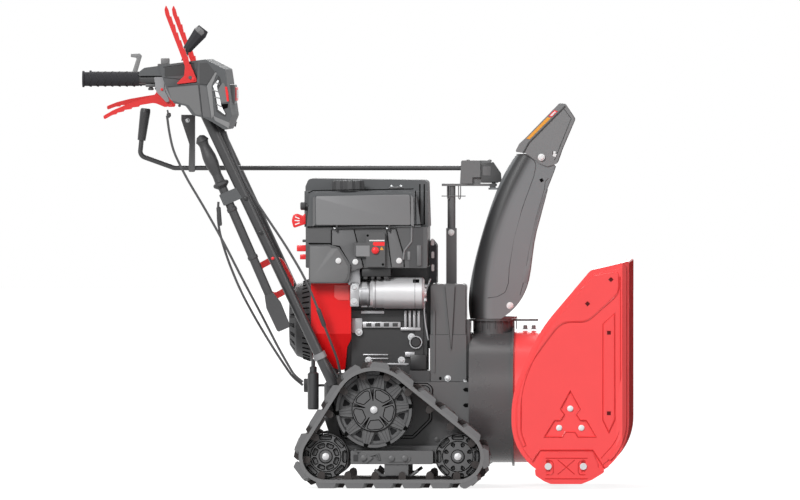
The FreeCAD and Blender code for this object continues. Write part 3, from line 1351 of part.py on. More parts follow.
def clean_out_tool():
    """The shovel for a blocked chute, clipped beside the right handle tube."""
    turn = FreeCAD.Placement(V(), FreeCAD.Rotation(V(0, 1, 0), -float(S.tool_lean)))
    base = (S.tool_x, S.tool_y, S.tool_z)
    shaft = Body("tool_shaft")
    profile = shaft.sketch("XZ", at=0)
    profile.outline([
        (0, 60), (11, 60), (11, 190), (13, 193), (13, 199), (11, 202), (11, 320), (13, 323), (13, 329),
        (11, 332), (11, 384), (20, 392, 2), (20, 398, 2), (13, 402), (12, 420, 20), (17, 450, 40),
        (17, 470, 40), (12, 500, 20), (14, 508), (17, 512, 2), (10, 524, 4), (0, 528)])
    shaft.revolve(profile)
    blade = Body("tool_blade")
    blade.pad(blade.sketch("XZ", at=20).outline([
        (-11, 96), (-19, 66, 10), (-17, 0, 6), (17, 0, 6), (19, 66, 10), (11, 96)]), 40)
    hollow = blade.sketch("XZ", at=17)
    hollow.outline([(-16, -5), (40, -5), (40, 58), (-13, 58, 10)])
    blade.pocket(hollow, 34, back=True)
    whole = fuse("tool_whole", shaft.made, blade.made)
    whole.Placement = turn
    for axis, value in zip("xyz", base):
        bind(whole, f"Placement.Base.{axis}", value)
    node("clean_out_tool", whole)
    block = Body("tool_clip_block")
    block.pad(block.sketch("XZ", at=15).outline([
        (-15, 342, 3), (46, 342, 6), (46, 372, 6), (-15, 372, 3)]), 30)
    block.made.Placement = turn
    for axis, value in zip("xyz", base):
        bind(block.made, f"Placement.Base.{axis}", value)
    hole = Body("tool_clip_hole")
    hole.revolve(hole.sketch("XZ", at=0).outline([(0, 335), (11, 335), (11, 380), (0, 380)]))
    hole.made.Placement = turn
    for axis, value in zip("xyz", base):
        bind(hole.made, f"Placement.Base.{axis}", value)
    near = rod([(S.foot_x, -S.foot_half, S.foot_z), (S.handle_knee_x, -S.handle_half, S.grip_z)],
               float(S.tube_radius), 1)
    node("tool_clip", cut("tool_clip", block.made, fuse("tool_clip_bores", hole.made,
                                                        shape("tube_beside_clip", near))))


def rear_strut():
    """The upright damper and the cable anchor behind the chassis."""
    x, y = S.strut_x, S.strut_y
    body = Body("strut_body")
    profile = body.sketch("XZ", at=y, centre=(x, 193))
    profile.outline([(0, 0), (12, 0), (14, 3), (14, 90), (9, 94), (9, 106), (5, 108), (5, 126), (0, 126)])
    body.revolve(profile)
    anchor = slab("anchor_plate", [
        (x - 24, 236, 3), (x - 14, 236), (x - 14, 250), (S.chassis_rear - 36, 250),
        (S.chassis_rear - 36, 256),
        (x - 14, 256), (x - 14, 270, 3), (x - 24, 270, 3)], y + 16, y + 40)
    link = cylinder("strut_pin", 4, 30, (x, y, 253), "y")
    node("rear_strut", fuse("rear_strut", body.made, anchor.made, link))


cable_head = (S.trigger_x + 18, -S.handle_half, S.trigger_z - 63)
CABLES = {
    # the right side's steering cable, from below its trigger down to the anchor
    "steering_right": [cable_head, (-466, 1 - S.handle_half, 888), (-456, -219, 840), (-425, -214, 775),
                       (-380, -206, 700), (-331, -196, 612), (-285, -180, 520), (-240, -160, 435),
                       (-195, -140, 345), (-158, -128, 280), (-136, -124, 262)],
    # the auger clutch's cable, below it
    "clutch_right": [(-344, -190, 712), (-346, -189, 670), (-340, -187, 630), (-322, -182, 570),
                     (-290, -170, 490), (-250, -154, 415), (-205, -136, 340), (-162, -118, 275),
                     (-136, -112, 254)],
    # the drive clutch's cable, in front of the right tube
    "drive_right": [(-327, -197, 888), (-311, -197, 835), (-277, -195, 755), (-228, -192, 680),
                    (-174, -190, 600), (-126, -190, 518), (-94, -184, 440), (-68, -166, 370),
                    (-48, -146, 318), (-38, -130, 265)],
}


def control_cables():
    """The sheathed cables between the levers and the drive; each is held at both ends."""
    for name, route in CABLES.items():
        points = [[float(as_size(c)) for c in point] for point in route]
        reach = [V(*b).sub(V(*a)).Length for a, b in zip(points, points[1:])]
        edges, start = [], V(*points[0])
        for i in range(1, len(points) - 1):
            before, corner, after = V(*points[i - 1]), V(*points[i]), V(*points[i + 1])
            arriving, leaving = (corner - before).normalize(), (after - corner).normalize()
            back = 0.45 * min(reach[i - 1], reach[i])
            first, last = corner - arriving * back, corner + leaving * back
            bend = back / math.tan(arriving.getAngle(leaving) / 2)
            inward = (leaving - arriving).normalize()
            middle = corner + inward * (math.hypot(back, bend) - bend)
            edges += [Part.makeLine(start, first), Part.Arc(first, middle, last).toShape()]
            start = last
        edges.append(Part.makeLine(start, V(*points[-1])))
        way = (V(*points[1]) - V(*points[0])).normalize()
        ring = Part.Wire([Part.Circle(V(*points[0]), way, float(S.cable_radius)).toShape()])
        node("cable_" + name, shape("cable_" + name, Part.Wire(edges).makePipeShell([ring], True, False)))


clean_out_tool()
rear_strut()
control_cables()


# ---------------------------------------------------------------- finished parts

doc.recompute()
for thing in doc.Objects:
    assert "Invalid" not in thing.State and "Error" not in thing.State, f"{thing.Label}: {thing.State}"
os.makedirs("parts", exist_ok=True)
for thing in nodes:
    solid = thing.Shape
    assert not solid.isNull() and solid.isValid(), f"{thing.Label} has no valid shape"
    solid.exportStep(f"parts/{thing.Label}.step")
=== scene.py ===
"""Looks of a walk-behind snow blower on two rubber tracks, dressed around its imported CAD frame."""
import math

import bmesh
import bpy
from mathutils import Matrix, Vector, geometry


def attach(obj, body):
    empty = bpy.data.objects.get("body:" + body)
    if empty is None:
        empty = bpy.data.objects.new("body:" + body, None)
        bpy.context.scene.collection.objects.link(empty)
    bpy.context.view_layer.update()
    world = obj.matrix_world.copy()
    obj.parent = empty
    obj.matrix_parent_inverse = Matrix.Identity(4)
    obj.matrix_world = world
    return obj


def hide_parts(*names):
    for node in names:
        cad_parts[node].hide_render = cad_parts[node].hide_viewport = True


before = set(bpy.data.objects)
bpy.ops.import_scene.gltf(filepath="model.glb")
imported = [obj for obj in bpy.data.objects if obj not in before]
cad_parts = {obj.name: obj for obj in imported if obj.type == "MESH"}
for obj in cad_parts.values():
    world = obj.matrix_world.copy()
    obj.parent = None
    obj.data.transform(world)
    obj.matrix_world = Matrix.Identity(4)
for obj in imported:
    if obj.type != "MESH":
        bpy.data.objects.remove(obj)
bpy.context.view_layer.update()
MM = 0.001

# ---------------------------------------------------------------- node groups


def group_tree(name, kind, inputs, outputs):
    """An empty node group with named sockets; a socket given None keeps its own value."""
    tree = bpy.data.node_groups.new(name, kind)
    for label, socket_kind, value in inputs:
        socket = tree.interface.new_socket(label, in_out="INPUT", socket_type="NodeSocket" + socket_kind)
        if value is not None:
            socket.default_value = value
    for label, socket_kind in outputs:
        tree.interface.new_socket(label, in_out="OUTPUT", socket_type="NodeSocket" + socket_kind)
    return tree, tree.nodes.new("NodeGroupInput"), tree.nodes.new("NodeGroupOutput")


def math_node(tree, operation, first, second):
    """One arithmetic step; each operand is a socket or a number."""
    node = tree.nodes.new("ShaderNodeMath")
    node.operation = operation
    for socket, value in zip(node.inputs, (first, second)):
        if isinstance(value, (int, float)):
            socket.default_value = value
        else:
            tree.links.new(value, socket)
    return node.outputs[0]


def component(tree, output, axis):
    """One component of the Object or Normal coordinates."""
    place = tree.nodes.new("ShaderNodeTexCoord")
    split = tree.nodes.new("ShaderNodeSeparateXYZ")
    tree.links.new(place.outputs[output], split.inputs[0])
    return split.outputs[axis]


def magnitude(tree, output, axis):
    """The size of one component of the Object or Normal coordinates, whatever its sign."""
    return math_node(tree, "ABSOLUTE", component(tree, output, axis), 0.0)


def repaint(material, share, colour):
    """Mixes a second colour over whatever feeds a material's base colour, by a share of 0 to 1."""
    tree = material.node_tree
    base = tree.nodes["Principled BSDF"].inputs["Base Color"]
    node = tree.nodes.new("ShaderNodeMix")
    node.data_type = "RGBA"
    sockets = {socket.identifier: socket for socket in [*node.inputs, *node.outputs]}
    tree.links.new(share, sockets["Factor_Float"])
    tree.links.new(base.links[0].from_socket, sockets["A_Color"])
    sockets["B_Color"].default_value = (*colour, 1)
    tree.links.new(sockets["Result_Color"], base)


# ---------------------------------------------------------------- finishes


def noise(tree, scale, detail, roughness=0.5):
    """Noise on Object coordinates; scale is a socket with the number of cells per metre."""
    place = tree.nodes.new("ShaderNodeTexCoord")
    node = tree.nodes.new("ShaderNodeTexNoise")
    node.inputs["Detail"].default_value = detail
    node.inputs["Roughness"].default_value = roughness
    tree.links.new(place.outputs["Object"], node.inputs["Vector"])
    tree.links.new(scale, node.inputs["Scale"])
    return node.outputs["Fac"]


def build_surface_group():
    """Patchy colour, patchy gloss and a fine grain, as every moulded or painted surface has."""
    tree, given, made = group_tree("surface_finish", "ShaderNodeTree", [
        ("Colour", "Color", (0.5, 0.5, 0.5, 1)), ("Colour Spread", "Float", 0.08),
        ("Roughness", "Float", 0.4), ("Roughness Spread", "Float", 0.12),
        ("Grain Scale", "Float", 1500.0), ("Patch Scale", "Float", 14.0),
    ], [("Colour", "Color"), ("Roughness", "Float"), ("Height", "Float")])
    patches = noise(tree, given.outputs["Patch Scale"], 6, 0.6)
    grain = noise(tree, given.outputs["Grain Scale"], 2)
    centred = math_node(tree, "SUBTRACT", patches, 0.5)
    shade = math_node(tree, "ADD", math_node(tree, "MULTIPLY", centred, given.outputs["Colour Spread"]), 1.0)
    tint = tree.nodes.new("ShaderNodeVectorMath")
    tint.operation = "SCALE"
    tree.links.new(given.outputs["Colour"], tint.inputs[0])
    tree.links.new(shade, tint.inputs["Scale"])
    gloss = math_node(tree, "ADD", given.outputs["Roughness"],
                      math_node(tree, "MULTIPLY", centred, given.outputs["Roughness Spread"]))
    tree.links.new(tint.outputs[0], made.inputs["Colour"])
    tree.links.new(gloss, made.inputs["Roughness"])
    tree.links.new(grain, made.inputs["Height"])
    return tree


surface_group = build_surface_group()

# Gloss of the clear coats, and how deep a full-strength grain goes, in metres.
COAT_ROUGHNESS, GRAIN_DEPTH = 0.12, 0.0004


def finish(name, colour, roughness, metallic=0.0, grain=0.1, grain_scale=1500.0, coat=0.0, specular=0.5):
    """A material with the surface group's colour, gloss and grain on a Principled shader."""
    material = bpy.data.materials.new(name)
    material.use_nodes = True
    tree = material.node_tree
    shader = tree.nodes["Principled BSDF"]
    group = tree.nodes.new("ShaderNodeGroup")
    group.node_tree = surface_group
    bump = tree.nodes.new("ShaderNodeBump")
    for node, values in (
            (shader, {"Metallic": metallic, "Coat Weight": coat, "Coat Roughness": COAT_ROUGHNESS,
                      "Specular IOR Level": specular}),
            (group, {"Colour": (*colour, 1), "Roughness": roughness, "Grain Scale": grain_scale}),
            (bump, {"Strength": grain, "Distance": GRAIN_DEPTH})):
        for label, value in values.items():
            node.inputs[label].default_value = value
    tree.links.new(group.outputs["Colour"], shader.inputs["Base Color"])
    tree.links.new(group.outputs["Roughness"], shader.inputs["Roughness"])
    tree.links.new(group.outputs["Height"], bump.inputs["Height"])
    tree.links.new(bump.outputs["Normal"], shader.inputs["Normal"])
    return material


def lamp_lens(name, colour, strength):
    """A frosted light strip: pale plastic that glows a little."""
    material = finish(name, colour, 0.2)
    shader = material.node_tree.nodes["Principled BSDF"]
    shader.inputs["Emission Color"].default_value = (*colour, 1)
    shader.inputs["Emission Strength"].default_value = strength
    return material


# How strongly each kind of surface is grained, and with how many cells a metre.
MOULDED = {"grain": 0.16, "grain_scale": 2200}
FINE = {"grain": 0.14, "grain_scale": 2200}
POWDER = {"grain": 0.08, "grain_scale": 900}
SMOOTH_POWDER = {"grain": 0.06, "grain_scale": 900}
CAST = {"grain": 0.35, "grain_scale": 900}
ENAMEL = {"grain": 0.05, "grain_scale": 420, "coat": 0.12}

red_plastic = finish("red_plastic", (0.95, 0.028, 0.032), 0.34, grain=0.06)
grey_paint = finish("grey_paint", (0.150, 0.150, 0.152), 0.42, **POWDER)
panel_paint = finish("panel_paint", (0.112, 0.112, 0.114), 0.45, **POWDER)
chute_paint = finish("chute_paint", (0.186, 0.194, 0.200), 0.42, **POWDER)
drum_paint = finish("drum_paint", (0.085, 0.086, 0.088), 0.28, **SMOOTH_POWDER)
grey_plastic = finish("grey_plastic", (0.120, 0.120, 0.122), 0.48, **MOULDED)
dark_plastic = finish("dark_plastic", (0.052, 0.052, 0.054), 0.50, **MOULDED)
black_plastic = finish("black_plastic", (0.014, 0.014, 0.015), 0.40, **FINE)
wheel_plastic = finish("wheel_plastic", (0.098, 0.098, 0.100), 0.50, **FINE)
hood_plastic = finish("hood_plastic", (0.196, 0.196, 0.200), 0.46, **FINE)
panel_plastic = finish("panel_plastic", (0.128, 0.128, 0.131), 0.48, **FINE)
corner_plastic = finish("corner_plastic", (0.152, 0.152, 0.154), 0.48, **FINE)
cheek_plastic = finish("cheek_plastic", (0.172, 0.172, 0.174), 0.46, **FINE)
light_grey_plastic = finish("light_grey_plastic", (0.25, 0.25, 0.252), 0.44, grain=0.1, grain_scale=2200)
belt_rubber = finish("belt_rubber", (0.115, 0.115, 0.117), 0.62, grain=0.3, grain_scale=1300)
belt_edge_rubber = finish("belt_edge_rubber", (0.165, 0.165, 0.167), 0.58, grain=0.2, grain_scale=1300)
cast_metal = finish("cast_metal", (0.36, 0.36, 0.37), 0.42, metallic=0.85, **CAST)
engine_cast = finish("engine_cast", (0.026, 0.026, 0.027), 0.42, metallic=0.15, **CAST)
satin_alloy = finish("satin_alloy", (0.66, 0.66, 0.67), 0.36, metallic=0.35, grain=0.1, grain_scale=900)
zinc_plate = finish("zinc_plate", (0.60, 0.61, 0.62), 0.34, metallic=0.7, grain=0.05)
cable_sleeve = finish("cable_sleeve", (0.075, 0.075, 0.078), 0.42)
orange_film = finish("orange_film", (0.85, 0.36, 0.04), 0.35)
# White for films, labels and small pale parts; also a painted reflection on bright bolt heads, and the
# painted backdrop seen through the muffler guard's slots.
white_film_and_painted_light = finish("white_film_and_painted_light", (0.82, 0.82, 0.82), 0.35)
label_grey = finish("label_grey", (0.24, 0.24, 0.245), 0.4)
# Painted shade: near-black for the inside of holes, grooves, seams, slots and gaps, and under the console's
# nose.
recess_shade = finish("recess_shade", (0.006, 0.006, 0.006), 0.9, specular=0.0)
window_shade = finish("window_shade", (0.020, 0.020, 0.021), 0.8, specular=0.1)
seam_shade = finish("seam_shade", (0.035, 0.035, 0.036), 0.6)
# Painted highlight along the drive spokes' edges and the hood panel's rear bevel.
edge_highlight = finish("edge_highlight", (0.135, 0.135, 0.137), 0.45)
# Painted shade in the grip's grooves.
grip_groove_shade = finish("grip_groove_shade", (0.022, 0.022, 0.023), 0.7)
gear_dark = finish("gear_dark", (0.040, 0.040, 0.041), 0.45)
black_paint = finish("black_paint", (0.040, 0.040, 0.041), 0.32, grain=0.06)
# Painted highlight on the blower housing's flat panels.
red_highlight = finish("red_highlight", (0.90, 0.085, 0.080), 0.24, grain=0.05)
bucket_enamel = finish("bucket_enamel", (0.95, 0.068, 0.070), 0.36, **ENAMEL)
skid_enamel = finish("skid_enamel", (0.92, 0.062, 0.064), 0.36, **ENAMEL)
red_shadow = finish("red_shadow", (0.66, 0.010, 0.010), 0.4)
# Painted shade inside the bucket's holes.
red_hole_shade = finish("red_hole_shade", (0.10, 0.004, 0.004), 0.8)
lamp_white = lamp_lens("lamp_white", (0.85, 0.86, 0.87), 0.25)

# Finishes that only whole CAD nodes wear, which take them by name below.
finish("light_grey_paint", (0.30, 0.30, 0.31), 0.40, **POWDER)
finish("deflector_paint", (0.195, 0.195, 0.198), 0.42, **POWDER)
finish("tube_paint", (0.052, 0.052, 0.054), 0.34, **SMOOTH_POWDER)
finish("cover_plastic", (0.088, 0.088, 0.090), 0.48, **MOULDED)
finish("box_plastic", (0.085, 0.085, 0.087), 0.46, **MOULDED)
finish("grip_rubber", (0.070, 0.070, 0.072), 0.60, grain=0.3, grain_scale=1600)
finish("auger_paint", (0.030, 0.033, 0.034), 0.38, grain=0.08)
finish("blower_red", (0.82, 0.008, 0.010), 0.34, grain=0.05, specular=0.35)

# ---------------------------------------------------------------- the frame's own finishes

NODE_FINISHES = {
    "bucket_enamel": ("bucket_",),
    "skid_enamel": ("skid_shoe_",),
    "drum_paint": ("impeller_housing",),
    "chute_paint": ("chute",),
    "deflector_paint": ("deflector",),
    "grey_paint": ("chute_gear_head",),
    "panel_paint": ("belt_cover", "chassis", "track_frame_", "mast", "crank_bracket"),
    "tube_paint": ("handle_", "chute_crank", "rear_strut", "engine_base"),
    "grey_plastic": ("engine_top_cover", "console", "tool_clip"),
    "cover_plastic": ("engine_lower_cover",),
    "box_plastic": ("engine_control_box",),
    "dark_plastic": ("recoil_starter", "clean_out_tool", "fuel_cap"),
    "black_plastic": ("muffler_guard", "speed_lever"),
    "wheel_plastic": ("drive_wheel_", "idlers_"),
    "belt_rubber": ("track_left", "track_right"),
    "grip_rubber": ("grip_",),
    "red_plastic": ("clutch_lever_", "steering_trigger_", "recoil_handle"),
    "blower_red": ("blower_housing",),
    "engine_cast": ("crankcase", "cylinder_block"),
    "cast_metal": ("auger_gearbox",),
    "satin_alloy": ("starter_motor",),
    "zinc_plate": ("axles", "scraper_bar"),
    "light_grey_paint": ("lever_brackets", "handle_clamps"),
    "auger_paint": ("auger", "impeller"),
    "cable_sleeve": ("cable_",),
}


def dress_nodes():
    """Each CAD node takes the finish with the longest matching start of its name."""
    for name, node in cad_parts.items():
        matches = [(len(start), key) for key, starts in NODE_FINISHES.items()
                   for start in starts if name.startswith(start)]
        if not matches:
            raise ValueError("no finish for " + name)
        node.data.materials.clear()
        node.data.materials.append(bpy.data.materials[max(matches)[1]])


dress_nodes()

# ---------------------------------------------------------------- makers of pieces

# Each maker takes a finish.
# Edges sharper than this angle, in degrees, stay crisp, and points this near, in metres, are one.
CREASE, WELD = 32, 1e-6
# Turns a flat outline (u, v), thick in Z, into the side view: u runs in X, v in Z, thickness in Y.
SIDE_VIEW = Matrix(((1, 0, 0, 0), (0, 0, 1, 0), (0, 1, 0, 0), (0, 0, 0, 1)))


def loose(name, data):
    """An object at the origin of the row frame."""
    obj = bpy.data.objects.new(name, data)
    bpy.context.scene.collection.objects.link(obj)
    return obj


def evaluated_mesh(obj):
    """A working object's shape, with its modifiers or curve bevel, as a plain mesh; the object goes."""
    bpy.context.view_layer.update()
    graph = bpy.context.evaluated_depsgraph_get()
    mesh = bpy.data.meshes.new_from_object(obj.evaluated_get(graph), depsgraph=graph)
    bpy.data.objects.remove(obj)
    return mesh


def settle(obj, material, body):
    """Turns a working object into a plain mesh piece of the same name and rides it on its body."""
    name = obj.name
    mesh = evaluated_mesh(obj)
    piece = loose(name, mesh)
    mesh.materials.clear()
    mesh.materials.append(material)
    mesh.shade_smooth()
    mesh.set_sharp_from_angle(angle=math.radians(CREASE))
    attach(piece, body)
    return piece


def rounded(corners, steps=6):
    """Corners (u, v) or (u, v, radius) in mm as a closed outline with true arcs."""
    points = []
    count = len(corners)
    for i, corner in enumerate(corners):
        here = Vector(corner[:2])
        radius = corner[2] if len(corner) > 2 else 0
        if radius <= 0:
            points.append(here)
            continue
        before = Vector(corners[i - 1][:2]) - here
        after = Vector(corners[(i + 1) % count][:2]) - here
        half_angle = before.angle(after) / 2
        reach = min(radius / math.tan(half_angle), before.length / 2, after.length / 2)
        true_radius = reach * math.tan(half_angle)
        centre = here + (before.normalized() + after.normalized()).normalized() * (
            true_radius / math.sin(half_angle))
        start = here + before.normalized() * reach - centre
        end = here + after.normalized() * reach - centre
        turn = start.angle_signed(end)
        for step in range(steps + 1):
            angle = -turn * step / steps
            c, s = math.cos(angle), math.sin(angle)
            points.append(centre + Vector((start.x * c - start.y * s, start.x * s + start.y * c)))
    return points


def plate(name, outlines, span, material, body="machine", bevel=0.0):
    """A flat piece between two Y levels in mm, drawn in side view; an outline inside another is a hole."""
    low, high = span
    curve = bpy.data.curves.new(name, "CURVE")
    curve.dimensions = "2D"
    curve.fill_mode = "BOTH"
    curve.extrude = ((high - low) / 2 - bevel) * MM
    curve.bevel_depth = bevel * MM
    curve.bevel_resolution = 1
    curve.offset = -bevel * MM
    for outline in outlines:
        corners = rounded(outline)
        spline = curve.splines.new("POLY")
        spline.points.add(len(corners) - 1)
        for point, corner in zip(spline.points, corners):
            point.co = (corner.x * MM, corner.y * MM, 0, 1)
        spline.use_cyclic_u = True
    mesh = evaluated_mesh(loose(name + "_flat", curve))
    mesh.transform(Matrix.Translation((0, (low + high) / 2 * MM, 0)) @ SIDE_VIEW)
    build = bmesh.new()
    build.from_mesh(mesh)
    bmesh.ops.remove_doubles(build, verts=build.verts, dist=WELD)
    bmesh.ops.recalc_face_normals(build, faces=build.faces)
    build.to_mesh(mesh)
    build.free()
    return settle(loose(name, mesh), material, body)


def lines(name, paths, radius, material, body="machine", closed=False, sides=1,
          curved=False):
    """Seams, grooves, wires or cables as one piece: round-section lines through points in mm."""
    curve = bpy.data.curves.new(name, "CURVE")
    curve.dimensions = "3D"
    curve.bevel_depth = radius * MM
    curve.bevel_resolution = sides
    curve.use_fill_caps = True
    for path in paths:
        spline = curve.splines.new("NURBS" if curved else "POLY")
        spline.points.add(len(path) - 1)
        for point, place in zip(spline.points, path):
            point.co = (*(Vector(place) * MM), 1)
        spline.use_cyclic_u = closed
        if curved:
            spline.order_u = 3
            spline.use_endpoint_u = True
    return settle(loose(name, curve), material, body)


def skin(name, sections):
    """A working object closed through rings of points in mm; a ring may be a single point."""
    mesh = bpy.data.meshes.new(name)
    build = bmesh.new()
    rings = [[build.verts.new(Vector(point) * MM) for point in section] for section in sections]
    for ring, following in zip(rings, rings[1:]):
        count = max(len(ring), len(following))
        for i in range(count):
            j = (i + 1) % count
            corners = (ring[i % len(ring)], ring[j % len(ring)],
                       following[j % len(following)], following[i % len(following)])
            build.faces.new(list(dict.fromkeys(corners)))
    for ring in (rings[0], rings[-1]):
        if len(ring) > 1:
            build.faces.new(ring)
    bmesh.ops.recalc_face_normals(build, faces=build.faces)
    build.to_mesh(mesh)
    build.free()
    return loose(name, mesh)


def lathe(name, profile, origin, direction, material, steps=40):
    """A turned piece: profile is (distance along, radius) in mm from an origin."""
    along = Vector(direction).normalized()
    aside = along.orthogonal().normalized()
    up = along.cross(aside)
    spokes = [aside * math.cos(a) + up * math.sin(a) for a in (2 * math.pi * i / steps for i in range(steps))]
    sections = []
    for distance, radius in profile:
        middle = Vector(origin) + along * distance
        sections.append([middle + spoke * radius for spoke in spokes] if radius else [middle])
    return settle(skin(name, sections), material, "machine")


def block(name, low, high, material, slot="black_plastic", bevel=1.0):
    """A squared block between two corners in mm, with softened edges."""
    (x0, y0, z0), (x1, y1, z1) = low, high
    obj = skin(name, [[(x0, y0, z), (x1, y0, z), (x1, y1, z), (x0, y1, z)] for z in (z0, z1)])
    softened = obj.modifiers.new("softened", "BEVEL")
    softened.width = bevel * MM
    softened.segments = 2
    softened.limit_method = "ANGLE"
    return settle(obj, material, "machine")


# ---------------------------------------------------------------- fasteners by Geometry Nodes

# A washer's corners, and a head's crown as shares of the head's radius and height.
WASHER_SIDES, CROWN_TAPER, CROWN_RISE = 20, 0.72, 0.25


def bolt_tree():
    """Hex flange bolts on points: each point's facing vector is the way its head looks."""
    tree, given, made = group_tree("hex_bolts", "GeometryNodeTree", [
        ("Points", "Geometry", None), ("Head Radius", "Float", 0.006), ("Head Height", "Float", 0.004),
        ("Washer Radius", "Float", 0.009), ("Washer Height", "Float", 0.0015), ("Sides", "Int", 6),
        ("Finish", "Material", None)], [("Mesh", "Geometry")])

    def fed(kind, sources):
        """A node with some of its inputs linked to sockets."""
        node = tree.nodes.new(kind)
        for label, source in sources.items():
            tree.links.new(source, node.inputs[label])
        return node

    def scaled(socket, factor):
        return math_node(tree, "MULTIPLY", socket, factor)

    head_radius, head_height = given.outputs["Head Radius"], given.outputs["Head Height"]
    washer_height, sides = given.outputs["Washer Height"], given.outputs["Sides"]
    washer = fed("GeometryNodeMeshCylinder", {"Radius": given.outputs["Washer Radius"],
                                              "Depth": washer_height})
    washer.inputs["Vertices"].default_value = WASHER_SIDES
    head = fed("GeometryNodeMeshCylinder", {"Vertices": sides, "Radius": head_radius, "Depth": head_height})
    crown = fed("GeometryNodeMeshCone", {"Vertices": sides, "Radius Bottom": head_radius,
                                         "Radius Top": scaled(head_radius, CROWN_TAPER),
                                         "Depth": scaled(head_height, CROWN_RISE)})
    join = tree.nodes.new("GeometryNodeJoinGeometry")
    for part, offset in ((washer, scaled(washer_height, 0.5)),
                         (head, math_node(tree, "ADD", washer_height, scaled(head_height, 0.5))),
                         (crown, math_node(tree, "ADD", washer_height, head_height))):
        rise = fed("ShaderNodeCombineXYZ", {"Z": offset})
        move = fed("GeometryNodeTransform", {"Geometry": part.outputs["Mesh"],
                                             "Translation": rise.outputs[0]})
        tree.links.new(move.outputs[0], join.inputs[0])
    facing = tree.nodes.new("GeometryNodeInputNamedAttribute")
    facing.data_type = "FLOAT_VECTOR"
    facing.inputs["Name"].default_value = "facing"
    align = fed("FunctionNodeAlignRotationToVector", {"Vector": facing.outputs["Attribute"]})
    align.axis = "Z"
    scatter = fed("GeometryNodeInstanceOnPoints", {"Points": given.outputs["Points"],
                                                   "Instance": join.outputs[0], "Rotation": align.outputs[0]})
    real = fed("GeometryNodeRealizeInstances", {"Geometry": scatter.outputs[0]})
    coat = fed("GeometryNodeSetMaterial", {"Geometry": real.outputs[0],
                                           "Material": given.outputs["Finish"]})
    tree.links.new(coat.outputs[0], made.inputs[0])
    return tree


bolt_maker = bolt_tree()


def bolts(name, places, material=zinc_plate, slot="bright_steel", body="machine", head=6.0, height=4.0,
          washer=9.0, washer_height=1.5, sides=6):
    """Bolt heads at (place in mm, facing) pairs; each place is where the washer meets the panel."""
    mesh = bpy.data.meshes.new(name)
    mesh.from_pydata([Vector(place) * MM for place, facing in places], [], [])
    attribute = mesh.attributes.new("facing", "FLOAT_VECTOR", "POINT")
    for value, (place, facing) in zip(attribute.data, places):
        value.vector = Vector(facing).normalized()
    obj = loose(name, mesh)
    modifier = obj.modifiers.new("bolts", "NODES")
    modifier.node_group = bolt_maker
    values = {"Head Radius": head * MM, "Head Height": height * MM, "Washer Radius": washer * MM,
              "Washer Height": washer_height * MM, "Sides": sides, "Finish": material}
    for socket in bolt_maker.interface.items_tree:
        if socket.in_out == "INPUT" and socket.name in values:
            modifier[socket.identifier] = values[socket.name]
    return settle(obj, material, body)


# ---------------------------------------------------------------- places and outlines

RIGHT, FORWARD, UP = (0, -1, 0), (1, 0, 0), (0, 0, 1)
SIDES = (("right", -1), ("left", 1))


def levels(side, inner, outer):
    """The lower and upper Y of a piece between two distances from the middle."""
    return (-outer, -inner) if side < 0 else (inner, outer)


def at_level(points, level):
    """Side-view points (x, z) in mm at one distance from the middle."""
    return [(x, level, z) for x, z in points]


def about(centre, corners, degrees=0):
    """Corners given about a centre, turned and put in place; radii are kept."""
    c, s = math.cos(math.radians(degrees)), math.sin(math.radians(degrees))
    return [(centre[0] + x * c - y * s, centre[1] + x * s + y * c, *more) for x, y, *more in corners]


def ring_outlines(centre, corners, count, start):
    """Copies of a rounded outline, evenly turned about a centre."""
    return [rounded(about(centre, corners, start + 360 * k / count), 4) for k in range(count)]


def square(centre, half, degrees=0):
    """A square outline about a centre."""
    return about(centre, [(-half, -half), (half, -half), (half, half), (-half, half)], degrees)


def circle(centre, radius, count=64, phase=0.0):
    """Evenly spaced points round a centre; phase is a share of one space."""
    angles = [2 * math.pi * (i + phase) / count for i in range(count)]
    return [(centre[0] + radius * math.cos(a), centre[1] + radius * math.sin(a)) for a in angles]


def etched(name, level, paths, radius, material, body="machine", closed=False,
           sides=1):
    """Seams or ribs on a side face: side-view paths at one distance from the middle."""
    return lines(name, [at_level(path, level) for path in paths], radius, material, body, closed, sides)


def side_bolts(name, side, places, material=zinc_plate, slot="bright_steel", body="machine", **sizes):
    """Bolt heads on a side face, each at (x, distance from the middle, z) in mm."""
    outwards = (0, side, 0)
    return bolts(name, [((x, side * y, z), outwards) for x, y, z in places], material, slot, body, **sizes)


# ---------------------------------------------------------------- tracks

# The wheels' axes in side view, their radii, and their middles' distance from the machine's, in mm.
DRIVE, REAR_IDLER, FRONT_IDLER = (45, 195), (-75, 78.5), (254, 78.5)
DRIVE_RADIUS, IDLER_RADIUS, HUB_RADIUS, AXLE_RADIUS = 97, 57, 54, 9
TRACK_CENTRE, WHEEL_HALF = 218, 27
WHEEL_FACE = TRACK_CENTRE + WHEEL_HALF
# How far the drive wheel's ten spokes are turned, in degrees.
SPOKE_TURNS = [23.4 + 36 * k for k in range(10)]
# Where the lugs' flanks in painted shade stop and their outer ends with a painted highlight begin, in metres
# from the middle.
LUG_END = 0.272


def belt_loop(offset):
    """The track's line round its three wheels, offset outwards, as side-view points in mm."""
    wheels = ((DRIVE, DRIVE_RADIUS), (REAR_IDLER, IDLER_RADIUS), (FRONT_IDLER, IDLER_RADIUS))
    cloud = [Vector(point) for centre, radius in wheels for point in circle(centre, radius + offset, 96)]
    return [tuple(cloud[i]) for i in geometry.convex_hull_2d(cloud)]


def paint_lug_shade_and_highlight():
    """Paints shade on the lugs' flanks that lie across the belt, and a highlight on their outer ends."""
    tree = belt_rubber.node_tree
    distance = magnitude(tree, "Object", "Y")
    flank = math_node(tree, "GREATER_THAN", magnitude(tree, "Normal", "Y"), 0.7)
    # Painted shade on the inboard flanks, then a painted highlight on the outer ends.
    for where, colour in (("LESS_THAN", (0.016, 0.011, 0.010)), ("GREATER_THAN", (0.150, 0.150, 0.153))):
        zone = math_node(tree, where, distance, LUG_END)
        repaint(belt_rubber, math_node(tree, "MULTIPLY", zone, flank), colour)


